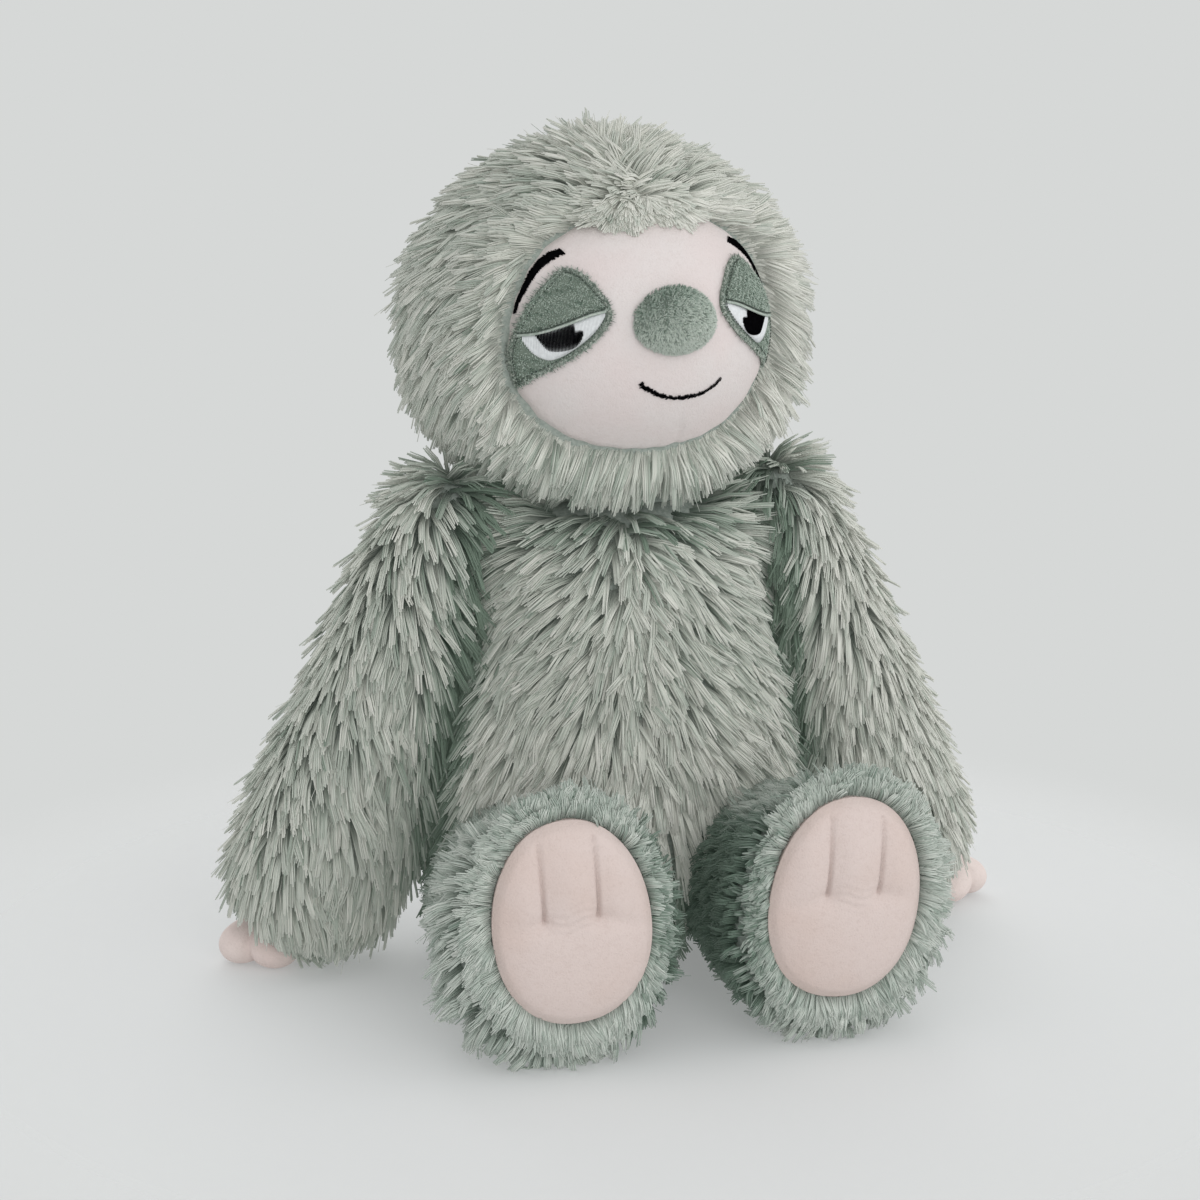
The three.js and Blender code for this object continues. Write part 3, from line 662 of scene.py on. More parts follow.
def thigh_depth(points, hand):
    """How far inside the swept thigh points are: for each of seven turns of the hip, the
    point is turned back and held against the leg's ellipse at its place along the leg."""
    form = leg_form(hand)
    hip = mirrored(HIP, hand)
    deepest = np.full(len(points), FAR_OUTSIDE)
    for degrees in np.linspace(*HIP_RANGE, 7):
        local = turned(points - hip, (1, 0, 0), -degrees) + hip
        share = np.clip((LEG_ROOT - local[:, 1]) / (LEG_ROOT - LEG_END), 0, 1)
        away = local - form.axis(share)
        wide = np.interp(share, form.rows[:, 0], form.rows[:, 1]) * (form.half[0] + HIP_ROOM)
        deep = np.interp(share, form.rows[:, 0], form.rows[:, 2]) * (form.half[1] + HIP_ROOM)
        inside = 1 - np.hypot(away[:, 0] / np.maximum(wide, 1), away[:, 2] / np.maximum(deep, 1))
        beside = (local[:, 1] < LEG_ROOT + HIP_ROOM) & (local[:, 1] > LEG_END)
        deepest = np.maximum(deepest, np.where(beside, inside, FAR_OUTSIDE))
    return deepest


def pocket_depth(points):
    """The same for both thighs together."""
    return np.maximum(thigh_depth(points, LEFT), thigh_depth(points, RIGHT))


def body_grid(rows, sides, grow):
    """The body's surface. Where a thigh sweeps through it, each point is drawn in along its
    radius to just before the first place where the thigh is met."""
    grid = body_form.grid(rows, sides, grow)
    reach = np.ones(grid.shape[:2])
    centre = np.stack([0 * reach, 6 * reach, grid[..., 2]], -1)
    for share in np.linspace(0.1, 1, 46)[::-1]:
        probe = (centre + (grid - centre) * share).reshape(-1, 3)
        reach = np.where(pocket_depth(probe).reshape(reach.shape) > 0, share - 0.02, reach)
    grid = centre + (grid - centre) * reach[..., None]
    grid[..., 2] = np.maximum(grid[..., 2], 0.6)
    return grid


def clip_to_sewn_side(points, hand):
    """Points short of the arm's flat face, just off the plane that it is sewn along, are moved
    square onto it."""
    axis = shoulder_axis(hand)
    short = np.minimum(points @ axis - sewn_plane - SEWN_INSET, 0)
    return points - short[..., None] * axis


def padded_skin(name, grid, body, replaced, material=backing):
    piece = make_mesh(name, *closed_grid(grid), material)
    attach(piece, body)
    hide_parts(replaced)


padded_skin("torso_skin", body_grid(72, 96, -BACKING), "torso", "torso_fur")
head_skin = head_place(head_surface(*head_form.mesh_places(64, 96)))
padded_skin("head_skin", head_skin, "head", "head_fur")
for hand, side in SIDES:
    arm = clip_to_sewn_side(arm_form(hand).grid(48, 48, -BACKING), hand)
    padded_skin(f"arm_skin_{side}", arm, f"arm_{side}", f"arm_fur_{side}")
    leg = leg_surface(hand, *leg_form(hand).mesh_places(56, 64))
    padded_skin(f"leg_skin_{side}", leg, f"leg_{side}", f"leg_fur_{side}")


# Neck: a gathered sleeve, hidden in the fur

SLEEVE_FOOT = 184.5


def gathered_sleeve():
    """A round band whose radius waves 18 times round, more at its top than at its foot."""
    height, angle = ring_grid(np.linspace(0, 1, 12), 144)
    radius = 29.5 - 3 * height + 0.9 * np.cos(18 * angle) * (0.3 + 0.7 * height)
    radius = radius * np.where((height == 0) | (height == 1), 0.97, 1)
    x, y = radius * np.cos(angle), NECK[1] + radius * np.sin(angle)
    return closed_grid(np.stack([x, y, SLEEVE_FOOT + 8 * height], -1))


sleeve = make_mesh("neck_sleeve", *gathered_sleeve(), backing)
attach(sleeve, "neck")
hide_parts("neck_gusset")


# Fur

TORSO_LOCKS, HEAD_LOCKS, ARM_LOCKS, LEG_LOCKS = 7600, 7100, 2950, 2150
TORSO_PILE, HEAD_PILE, ARM_PILE, LEG_PILE = 19.0, 18.5, 19.5, 14.0  # lengths of the locks
PILE_LIFT = 21  # degrees that the locks stand off the backing
CHEST_PARTING, FOREHEAD_PARTING = -3.0, -2.0  # both lie a little to the toy's right
STRAND_STEPS = np.array([0, 0.6, 1.0])
STRAND_TAPER = np.array([0.9, 1.0, 0.75])
STRANDS = 5  # strands that cling together in one lock
ABREAST = (np.arange(STRANDS) - (STRANDS - 1) / 2) * 0.56
STRAY_SHARE = 0.035  # of the strands
DROOP = 1.2  # how far the tips hang down
PIECE_LOCKS = 2700  # most locks in one piece


def along_surface(flow, normals):
    return unit(flow - dot(flow, normals) * normals)


def grow_fur(name, roots, normals, flow, length, lift, shade, body,
             bare=0.0, thickness=0.34, look=fur, bend=0.24, unruly=1.0):
    """Locks of strands. A lock starts at its root, rises by its lift and its bend, and lies
    down towards its tip along the flow. Its strands run side by side to a blunt tip, and
    neighbouring locks lean alike. Some strands stray. bare leaves out the dark foot of a lock.
    A piece with many locks is made as a few, from one side of the toy to the other."""
    count = len(roots)
    flow = along_surface(flow, normals)
    swirl = waves(roots, 34, 3)[:, :1] * 0.26 + waves(roots, 12, 7)[:, :1] * 0.2
    swirl = swirl + random.normal(0, 0.15, (count, 1))
    flow = unit(flow + np.cross(normals, flow) * swirl * unruly)
    side = np.cross(normals, flow)
    lift = lift + random.normal(0, 0.11, count) + waves(roots, 22, 5)[:, 0] * 0.08
    length = length * random.uniform(0.84, 1.12, count)
    axis = [roots]
    for low, high in zip(STRAND_STEPS[:-1], STRAND_STEPS[1:]):
        angle = (lift + bend * (1 - low - high))[:, None]
        step = ((high - low) * length)[:, None]
        axis.append(axis[-1] + step * (np.cos(angle) * flow + np.sin(angle) * normals))
    axis = np.stack(axis, 1)
    late = (STRAND_STEPS**2)[:, None]
    axis += (waves(roots, 9, 11)[:, None] * 1.2 - [0, 0, DROOP]) * late
    roll = random.normal(0, 0.35, (count, 1, 1))
    across = np.cos(roll) * side[:, None] + np.sin(roll) * normals[:, None]
    place = ABREAST + random.normal(0, 0.1, (count, STRANDS))
    offset = place[..., None] * across
    offset = offset + random.normal(0, 0.17, (count, STRANDS, 1)) * normals[:, None]
    spread = (1 - 0.12 * STRAND_STEPS)[:, None]
    own = 1 - 0.03 * place**2 + random.normal(0, 0.03, (count, STRANDS))
    stray = random.uniform(0, 1, (count, STRANDS)) < STRAY_SHARE
    wild = random.normal(0, 1, (count, STRANDS, 3)) * np.where(stray, 2.2, 0.2)[..., None]
    bundle = roots[:, None, None] + (axis - roots[:, None])[:, None] * own[..., None, None]
    paths = bundle + offset[:, :, None] * spread + wild[:, :, None] * late
    paths = paths.reshape(-1, len(STRAND_STEPS), 3)
    floor_room = 0.5 + 0.3 * random.uniform(0, 1, (len(paths), 1))
    paths[..., 2] = np.maximum(paths[..., 2], floor_room)
    radii = thickness * np.where(stray, 0.45, 1).reshape(-1, 1) * STRAND_TAPER
    radii = radii * random.uniform(0.82, 1.18, (len(paths), 1))
    # Each lock's and each strand's tone differs at random about the shade given, which holds
    # painted shade and painted light.
    tone = shade[:, None] + random.normal(0, 0.09, (count, 1))
    tone = np.clip(tone + random.normal(0, 0.08, (count, STRANDS)), 0, 1).reshape(-1)
    foot = np.repeat(np.broadcast_to(bare, count), STRANDS)
    lock = np.repeat(np.argsort(np.argsort(roots[:, 0])), STRANDS)
    parts = math.ceil(count / PIECE_LOCKS)
    for part in range(parts):
        chosen = lock * parts // count == part
        points, faces, uv = rods(paths[chosen], radii[chosen], 3, tone[chosen], foot[chosen], True)
        part_name = f"{name}_{part + 1}" if parts > 1 else name
        piece = make_mesh(part_name, points, faces, look, uv)
        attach(piece, body)


def thicken(weight, times, spread, *parts):
    """Adds copies of the places with a high weight, moved a little at random. The first of
    the parts holds the places."""
    extra = np.repeat(np.flatnonzero(weight > random.uniform(0.2, 0.8, len(weight))), times)
    grown = [np.concatenate([part, part[extra]]) for part in parts]
    grown[0][len(weight):] += random.normal(0, spread, (len(extra), 3))
    return grown


def thinner_behind(y):
    """Which of the places at depth y keep their lock: the pile stands thinner on the back."""
    return random.uniform(0, 1, len(y)) > 0.42 * smoothstep(10, 30, y)


def torso_fur():
    """Parted down the chest: near the neck the locks run out sideways, and lower down they
    turn more and more to the floor. On the back they run down. Beside the neck a collar stands
    out. Under the arms, under the chin, between the legs and on the upper chest under the head
    the locks are painted darker, as shade."""
    q, angle = body_form.scatter(TORSO_LOCKS)
    roots, normals = body_form.at(q, angle, -BACKING), body_form.normal(q, angle, -BACKING)
    x, y, z = roots.T
    from_neck = np.hypot(x, y - NECK[1])
    keep = (pocket_depth(roots) <= -0.06) & ((from_neck > 31) | (z < 180)) & (z > 3)
    keep &= thinner_behind(y)
    roots, normals = roots[keep], normals[keep]
    x, y, z = roots.T
    crest = bell(x - CHEST_PARTING, 9) * (y < -20) * smoothstep(90, 150, z)
    roots, normals = thicken(crest, 1, 1.0, roots, normals)
    x, y, z = roots.T
    beside = np.abs(x)
    front = smoothstep(10, -30, y)
    middle = bell(x - CHEST_PARTING, 12) * front
    way = np.tanh((x - CHEST_PARTING) / 20) * 1.1 + random.normal(0, 0.5, len(roots)) * middle
    dip = np.radians(follow([0, 60, 110, 150, 180], [80, 74, 60, 42, 32], z))
    dip = dip * front + np.radians(78) * (1 - front)
    flow = np.stack([way * np.cos(dip), np.full(len(way), 0.05), -np.sin(dip)], -1)
    under_arm = np.maximum(*[
        smoothstep(26, 9, sewn_plane - roots @ shoulder_axis(hand)) for hand in (LEFT, RIGHT)
    ])
    hollow = smoothstep(50, 26, z) * front * smoothstep(40, 26, beside)
    deep = smoothstep(66, 36, z) * front * smoothstep(44, 28, beside)
    chin = smoothstep(168, 182, z)
    collar = smoothstep(162, 176, z) * smoothstep(22, 36, beside)
    outward = np.stack([np.sign(way), 0 * way, 0.3 + 0 * way], -1)
    flow = flow * (1 - collar[:, None]) + collar[:, None] * outward
    length = TORSO_PILE * (1 - 0.25 * hollow) + 5 * collar
    lift = np.radians(PILE_LIFT + 6 * under_arm - 8 * hollow + 6 * chin + 14 * collar)
    # Painted shade: darker on the upper chest under the head, under the arms, between the legs and
    # under the chin.
    shade = 0.57 - 0.16 * smoothstep(90, 130, z) - 0.3 * under_arm - 0.4 * under_arm**2
    shade = shade - 0.8 * deep - 0.34 * chin * front
    bare = 0.3 * middle * (1 - hollow)
    ahead = y < NECK[1]
    for part, chosen in (("front", ahead), ("back", ~ahead)):
        locks = (values[chosen] for values in (roots, normals, flow, length, lift, shade))
        grow_fur(f"torso_pile_{part}", *locks, "torso", bare[chosen])


SEAM_ROWS = np.array([-1.0, 0.3, 1.8, 3.9])  # how far outside the face's seam each row stands


def seam_rows():
    """Rows of locks along the face's seam: their roots and normals."""
    outward = unit(np.stack([face_tangents[:, 1], -face_tangents[:, 0]], -1))
    outward *= np.sign(dot(face_rim, outward))
    spots = face_rim + random.normal(0, 0.4, (len(SEAM_ROWS), RIM_STEPS, 2))
    spots = (spots + outward * SEAM_ROWS[:, None, None]).reshape(-1, 2)
    rim_x, rim_z = np.tile(face_rim, (len(SEAM_ROWS), 1)).T
    roots = on_face(rim_x, rim_z, FACE_TUCK - SEAM_SINK)
    roots[:, [0, 2]] = spots + FACE_CENTRE[[0, 2]]
    ahead = np.full(len(spots), -1.3)
    return roots, unit(np.stack([spots[:, 0] / 60, ahead, spots[:, 1] / 70], -1))


def head_fur():
    """Locks run away from the face on every side and hang down, so that they part over the
    forehead. The rows at the seam stand close together, and a small forelock falls over it.
    The pile is longest under the chin. It is painted a little darker on the toy's right, away
    from the light, and darker below the face and low on the back, as shade; over the parting
    it is painted lighter, to hide the parting's shade."""
    q, angle = head_form.scatter(HEAD_LOCKS)
    roots, normals = head_surface(q, angle), surface_normal(head_surface, q, angle)
    past = past_seam(roots)
    x, y, z = roots.T
    over_neck = (np.hypot(x, y - NECK[1]) < 24) & (z < 60)
    keep = ((past > 0.6) | (y > 0)) & ~over_neck
    keep &= thinner_behind(y)
    at_seam, seam_normals = seam_rows()
    roots = np.concatenate([roots[keep], at_seam])
    normals = np.concatenate([normals[keep], seam_normals])
    past = np.concatenate([past[keep], np.repeat(SEAM_ROWS, RIM_STEPS)])
    x, y, z = roots.T
    crest = bell(x - FOREHEAD_PARTING, 12) * (y < 0) * (z > 120) * smoothstep(30, 18, past)
    roots, normals, past = thicken(crest, 3, 1.2, roots, normals, past)
    x, y, z = roots.T
    height = z - FACE_CENTRE[2]
    in_front, back = y < 0, smoothstep(-20, 40, y)
    away = unit(np.stack([x, np.full(len(roots), 12.0), height], -1))
    hang = follow([-80, 0, 35, 60, 90], [0.35, 0.7, 0.45, 0.1, 0.0], height)[:, None]
    flow = away + np.array([0, 0, -1.0]) * hang + np.array([0, 0.9, -0.3]) * back[:, None]
    parting = smoothstep(30, 45, height) * (1 - back)
    middle = bell(x - FOREHEAD_PARTING, 16) * parting
    aside = np.tanh((x - FOREHEAD_PARTING) / 18)
    flow[:, 0] += parting * aside + random.normal(0, 0.6, len(roots)) * middle
    seam = smoothstep(12, 0, past) * in_front
    forelock = smoothstep(14, 1, past) * smoothstep(24, 8, np.abs(x - 1))
    forelock = forelock * (height > 30) * in_front
    to_left = x + random.normal(0, 9, len(roots)) > FOREHEAD_PARTING
    flow = flow * (1 - forelock[:, None]) + forelock[:, None] * np.array([0.1, -0.4, -1.0])
    flow[:, 0] += 1.1 * (np.sin(np.pi * forelock) * np.where(to_left, 1, -1))
    beard = smoothstep(60, 35, z)
    length = HEAD_PILE - 3.5 * seam - 5.5 * forelock
    length = length + (4.5 - 3.0 * in_front) * beard - 1.5 * middle
    lift = PILE_LIFT + 4 * seam + 8 * forelock + 8 * smoothstep(0, 30, y) + 10 * middle
    lift = np.radians(lift)
    # Painted light and shade: lighter over the parting, to hide its shade, and on the toy's left,
    # where the light falls; darker below the face and low on the back.
    shade = 0.41 + 0.04 * seam + 0.1 * middle - 0.1 * smoothstep(60, 30, z) * (1 - in_front)
    lighter, darker = smoothstep(-20, 50, x), smoothstep(-20, -50, height)
    shade += (0.13 * lighter - 0.14 * darker) * in_front
    bare = np.maximum(0.8 * seam, 0.65 * middle)
    behind = y - FACE_CENTRE[1] > 12
    roots, normals, flow = head_place(roots), head_direction(normals), head_direction(unit(flow))
    parts = (("right", ~behind & (x <= 0)), ("left", ~behind & (x > 0)), ("back", behind))
    for part, chosen in parts:
        locks = (values[chosen] for values in (roots, normals, flow, length, lift, shade))
        grow_fur(f"head_pile_{part}", *locks, "head", bare[chosen])


def arm_fur(hand, side):
    """Parted down the front: the outer locks sweep out and down, the inner ones hang down.
    Those at the sewn side lean over to the body, and those on its flat face lie down along
    the arm, where they show when it swings up. The locks are shorter where they would cover
    the paw. They are painted darker near the body, on the flat face and near the floor, as
    shade, and the left arm's are painted a little lighter, where the light falls."""
    form = arm_form(hand)
    q, angle = form.scatter(ARM_LOCKS)
    roots, normals = form.at(q, angle, -BACKING), form.normal(q, angle, -BACKING)
    axis = shoulder_axis(hand)
    off_plane, z = roots @ axis - sewn_plane, roots[:, 2]
    sewn = (off_plane < 0.8) & (z > 12) & (random.uniform(0, 1, len(roots)) < 0.6)
    flat = clip_to_sewn_side(roots[sewn], hand)
    even = np.ones(len(flat))
    # The locks on the flat face are painted dark: shade against the body.
    grow_fur(f"arm_inner_pile_{side}", flat, -axis * even[:, None], form.along * even[:, None],
             11 * even, 0.12 * even, 0.2 * even, f"arm_{side}", bend=0.1)
    keep = (off_plane > 0.8) & (z > 4)
    roots, normals, off_plane = roots[keep], normals[keep], off_plane[keep]
    on_top = smoothstep(0.5, 0.9, normals[:, 2])
    roots, normals, off_plane = thicken(on_top, 2, 1.4, roots, normals, off_plane)
    z = roots[:, 2]
    away = roots - form.axis(((roots - form.knots[0]) @ form.along) / form.length)
    parting = np.arctan2(away @ form.across * hand, -away[:, 1]) + 0.35
    outer, inner = np.clip(parting, 0, np.pi), np.clip(-parting, 0, np.pi)
    sweep = 0.8 * np.sin(outer) - 0.2 * np.sin(inner)
    around = unit(np.cross(form.along, normals)) * hand
    shoulder = smoothstep(150, 185, z)
    near = smoothstep(16, 3, off_plane)
    swept = around * (sweep * (1 + 0.9 * shoulder))[:, None]
    flow = form.along + swept + np.array([0, 0, -0.15])
    flow = flow - 0.85 * (near * (1 - shoulder))[:, None] * axis
    top = smoothstep(0.45, 0.85, normals[:, 2])[:, None]
    lean = np.tanh((off_plane - 9) / 6 + random.normal(0, 0.5, len(roots)))
    over = np.stack([hand * lean, np.full(len(roots), -0.25), np.full(len(roots), 0.05)], -1)
    flow = flow * (1 - top) + top * over
    low = smoothstep(40, 8, z)
    length = ARM_PILE * (1 - 0.08 * low) + 2 * near
    shift = LEFT_PAW_SHIFT[0] if hand == LEFT else 0
    paw = np.array([hand * PAW_PLACE[0] + shift, 19, 8])
    tips = roots + along_surface(flow, normals) * length[:, None]
    over_paw = smoothstep(1.3, 0.7, np.linalg.norm((tips - paw) / [24, 24, 15], axis=1))
    length = length * (1 - 0.5 * over_paw)
    lift = np.radians(PILE_LIFT + 6 * near + shoulder - 6 * low)
    # Painted shade near the body and near the floor, and painted light on the left arm.
    shade = 0.4 - 0.3 * near - 0.35 * near**2 - 0.1 * low + (0.13 if hand == LEFT else 0)
    grow_fur(f"arm_pile_{side}", roots, normals, flow, length, lift, shade, f"arm_{side}",
             0.25 * top[:, 0])


TUCKED_PILE, TUCKED_LIFT = 11.0, 12.0  # of the locks in the hip's pocket
SOLE_SEAM = (28.2, 37.2)  # half sizes of the rim that the sole is sewn in along
SOLE_ROWS = np.array([0.3, 1.7, 3.2, 4.8])  # how far outside it each row of locks stands
RIM_LOCKS = 190  # in each of these rows


def rim_rows(centre, hand):
    """Rows of locks along the sole's seam: their roots and normals."""
    turn = np.tile(full_turn(RIM_LOCKS), len(SOLE_ROWS))
    row = np.repeat(SOLE_ROWS, RIM_LOCKS)
    x, z = (SOLE_SEAM[0] + row) * np.cos(turn), (SOLE_SEAM[1] + row) * np.sin(turn)
    rim = np.stack([x, 0.3 * row - 121.3, z], -1)
    rim = turned(rim + random.normal(0, 0.3, rim.shape), (0, 1, 0), FOOT_ROLL * hand) + centre
    rim = rim[rim[:, 2] > 2.5]
    return rim, unit((rim - centre) * [1, 0, 1] / 60 + [0, -1.4, 0])


def leg_fur(hand, side):
    """Shorter, finer pile that fans out round the sole and is brushed back along the leg. The
    rows at the sole's seam stand close together. The pile is short between the legs and painted
    dark there, as shade, and short in the hip's pocket, where it shows when the leg swings. It is
    also painted darker, as shade, at the top of the leg and towards the body."""
    q, angle = leg_form(hand).scatter(LEG_LOCKS)

    def backing_place(q, angle):
        return leg_surface(hand, q, angle)

    roots, normals = backing_place(q, angle), surface_normal(backing_place, q, angle)
    centre = mirrored(FOOT_CENTRE, hand)
    x, y, z = roots.T
    out, _, up = (roots - centre).T
    roll = math.radians(-FOOT_ROLL * hand)
    across, above = (out * math.cos(roll) - up * math.sin(roll),
                     out * math.sin(roll) + up * math.cos(roll))
    under_sole = (y < -116) & (np.hypot(across / 29.5, above / 38.5) < 1.0)
    inside_body = np.hypot(x / 64, (y - 2) / 50) < 1
    tucked = inside_body & (z > 40) & (y < -14)
    keep = ~under_sole & (tucked | ~inside_body) & (z > 2.5)
    roots, normals, tucked = roots[keep], normals[keep], tucked[keep]
    y = roots[:, 1]
    behind_rim = smoothstep(-100, -107, y) * smoothstep(-119, -112, y)
    roots, normals, tucked = thicken(behind_rim, 1, 1.2, roots, normals, tucked)
    rim, rim_normals = rim_rows(centre, hand)
    roots, normals = np.concatenate([roots, rim]), np.concatenate([normals, rim_normals])
    tucked = np.concatenate([tucked, np.zeros(len(rim), bool)])
    x, y, z = roots.T
    radial = unit((roots - centre) * [1, 0, 1])
    fan = np.where(y < -108, 1.0, 0.25)[:, None]
    flow = radial * fan + np.array([0, 0.75, -0.12])
    front = smoothstep(-85, -112, y)
    low = smoothstep(26, 5, z)
    seam = smoothstep(-112, -118, y)
    outer = smoothstep(0.2, 0.8, radial[:, 0] * hand) * (1 - seam) * (hand == RIGHT)
    inner = smoothstep(34, 16, x * hand)
    length = LEG_PILE - 1.5 * front - 1.5 * low - 4.5 * smoothstep(-114, -119, y)
    length = np.where(tucked, TUCKED_PILE, length + 3.0 * outer - 4.0 * inner)
    lift = 33 + 4 * front - 18 * low * (1 - seam) - 4 * seam
    lift = np.radians(np.where(tucked, TUCKED_LIFT, lift))
    # Painted shade: darker between the legs, at the top of the leg and towards the body.
    shade = 0.43 + 0.03 * low - 0.72 * inner * (1 - 0.6 * seam)
    shade = shade - 0.1 * smoothstep(84, 98, z) - 0.12 * smoothstep(-90, -60, y)
    grow_fur(f"leg_pile_{side}", roots, normals, flow, length, lift, shade, f"leg_{side}",
             bare=0.5 * seam, thickness=0.3, look=foot_fur, bend=0.45, unruly=1.6)


torso_fur()
head_fur()
for hand, side in SIDES:
    arm_fur(hand, side)
    leg_fur(hand, side)


# Face

CHIN_TUCK = -1.36  # where the short tuck at the chin lies, as an angle
FACE_THICKNESS = 2.7


def face_grid():
    """A lens: the front swells over the rim and sinks to the seam with small puckers, and the
    back runs in again behind it."""
    rows = np.concatenate([np.linspace(0, 0.86, 30) ** 0.9, np.linspace(0.88, 1, 9)])
    share, step = np.meshgrid(rows[1:], np.arange(RIM_STEPS), indexing="ij")
    x, z = face_rim[step, 0] * share, face_rim[step, 1] * share
    angle = np.arctan2(z, x)
    puckers = 0.14 * np.sin(angle * 31 + 1.7 * np.sin(angle * 4)) * smoothstep(0.84, 0.97, share)
    chin_tuck = 0.6 * bell(angle - CHIN_TUCK, 0.045) * smoothstep(0.6, 0.88, share)
    front = on_face(x, z, -(puckers + chin_tuck))
    back = on_face(x[::-1] * 0.99, z[::-1] * 0.99, 0 * x - FACE_THICKNESS)
    return head_place(np.concatenate([front, back])[::-1])


padded_skin("face", face_grid(), "head", "face_panel", pale_plush)


def on_head(name, points, faces, material, slot, replaced=None, uv=None):
    """A piece of the face: it rides on the head, and stands for a solid where one is named."""
    piece = make_mesh(name, points, faces, material, uv)
    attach(piece, "head")
    if replaced:
        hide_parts(replaced)


def applique(name, knots, hand, layer, thickness, material, slot, replaced=None, shrink=0.0):
    """A flat shape on the face: rings shrink from its outline to its middle, and the edge is
    rounded over half a millimetre."""
    rim, tangents = smooth_loop(knots, 120)
    outward = np.stack([tangents[:, 1], -tangents[:, 0]], -1)
    area = np.sum(rim[:, 0] * np.roll(rim[:, 1], -1) - np.roll(rim[:, 0], -1) * rim[:, 1])
    outward *= np.sign(area)
    rim = rim - outward * shrink
    middle = rim.mean(0)
    shares = np.array([0.08, 0.25, 0.45, 0.65, 0.82, 0.93])
    inner = middle + (rim - middle) * shares[:, None, None]
    insets = np.array([0.45, 0.16, 0.0, 0.0])
    outer = rim - outward * insets[:, None, None]
    flat = np.concatenate([inner, outer])
    rise = np.concatenate([np.full(9, thickness), [0.0]])
    rise[7] -= 0.12 * thickness
    rise[8] = 0.55 * thickness
    back = flat[::-1][3:]
    x = np.concatenate([flat[..., 0], back[..., 0]]) * hand
    z = np.concatenate([flat[..., 1], back[..., 1]])
    rises = np.concatenate([rise, np.full(len(back), 0.0)])[:, None] + layer + np.zeros_like(x)
    grid = head_place(on_face(x, z, rises))
    if area * hand > 0:
        grid = grid[::-1]
    on_head(name, *closed_grid(grid), material, slot, replaced)


def satin(name, first, second, rise, thread, material, slot, replaced=None, arch=0.35):
    """Threads laid side by side from the points of one edge to those of the other, each a
    thin closed rod that arches over the face. thread is half a thread's width."""
    share = np.linspace(0, 1, 6)
    flat = first[:, None] + (second - first)[:, None] * share[:, None]
    lift = rise + arch * np.sin(np.pi * np.clip(share * 1.06 - 0.03, 0, 1))
    paths = head_place(on_face(flat[..., 0], flat[..., 1], np.broadcast_to(lift, flat.shape[:2])))
    radii = np.broadcast_to(thread * np.array([0.6, 1, 1, 1, 0.9, 0]), flat.shape[:2])
    points, faces, _ = rods(paths, radii, 4)
    on_head(name, points, faces, material, slot, replaced)


def open_curve(knots, count):
    """Evenly spaced points along a smooth open curve through the knots, and its tangents."""
    knots = np.array(knots, float)
    keys = np.concatenate([[0], np.linalg.norm(np.diff(knots, axis=0), axis=1).cumsum()])
    even = np.linspace(0, keys[-1], count)
    slope = follow(keys, knots, even + 1e-3) - follow(keys, knots, even - 1e-3)
    return follow(keys, knots, even), unit(slope)


THREAD_SLANT = 0.3


def stroke_edges(knots, widths, count, ragged):
    """The two edges of a stroke: half its width to each side of the curve, set off along it
    for the slant of the threads, and a little uneven."""
    points, tangents = open_curve(knots, count)
    across = np.stack([-tangents[:, 1], tangents[:, 0]], -1)
    half = np.interp(np.linspace(0, 1, count), np.linspace(0, 1, len(widths)), widths)
    across = across * half[:, None] / 2
    uneven = 1 + random.uniform(-ragged, ragged, (2, count, 1))
    slant = tangents * THREAD_SLANT
    return points + across * uneven[0] + slant, points - across * uneven[1] - slant


def fill_edges(outline, spacing, shrink):
    """The lower and upper edge of an outline along evenly spaced upright lines."""
    rim, _ = smooth_loop(outline, 400)
    xs = np.arange(rim[:, 0].min() + spacing / 2, rim[:, 0].max(), spacing)
    upper = np.full(len(xs), -np.inf)
    lower = np.full(len(xs), np.inf)
    for (x0, z0), (x1, z1) in zip(rim, np.roll(rim, -1, axis=0)):
        hit = (xs - x0) * (xs - x1) <= 0
        if x1 == x0:
            continue
        z = z0 + (xs[hit] - x0) / (x1 - x0) * (z1 - z0)
        upper[hit] = np.maximum(upper[hit], z)
        lower[hit] = np.minimum(lower[hit], z)
    good = upper - lower > 2 * shrink + 0.3
    xs, upper, lower = xs[good], upper[good] - shrink, lower[good] + shrink
    return np.stack([xs, lower], -1), np.stack([xs, upper], -1)


# Outlines and lines on the toy's left, from the face's middle, and widths along two of them
EYE_PATCH = [
    (32.4, 25.3), (28.6, 23.9), (25.2, 20), (22.9, 16.2), (21.1, 12.6), (20.8, 8.4), (23.2, 4),
    (28.2, -1.6), (33.7, -6), (39.2, -9.9), (44.2, -13.5), (48.4, -17.2), (50.5, -12),
    (51.4, -6.8), (51.1, -2.2), (49.6, 2.8), (47.2, 8.9), (43.6, 15.1), (38.6, 20.9),
    (35.3, 24.1),
]
EYELID = [
    (32.3, 23.4), (29.2, 20.9), (26.6, 18.1), (24.1, 13.9), (22.6, 11.3), (27.7, 10), (31.5, 8.5),
    (35.5, 6.8), (40, 5), (44.2, 3.8), (48, 3.2), (46.6, 8.4), (43.8, 13.6), (40.4, 18),
    (36.8, 21.7), (34.6, 23.1),
]
EYE_WHITE = [
    (23.2, 10.4), (27.8, 9.2), (32.5, 7.2), (38, 4.8), (42.9, 3.2), (47.2, 2.4), (47.3, 0.3),
    (46.3, -2), (44.5, -4.6), (41.7, -6.4), (39.8, -6.7), (37.5, -5.9), (34.6, -4.1),
    (31.5, -1.7), (28.3, 1.1), (26, 3.5), (23.9, 6.6), (22.5, 9.4),
]
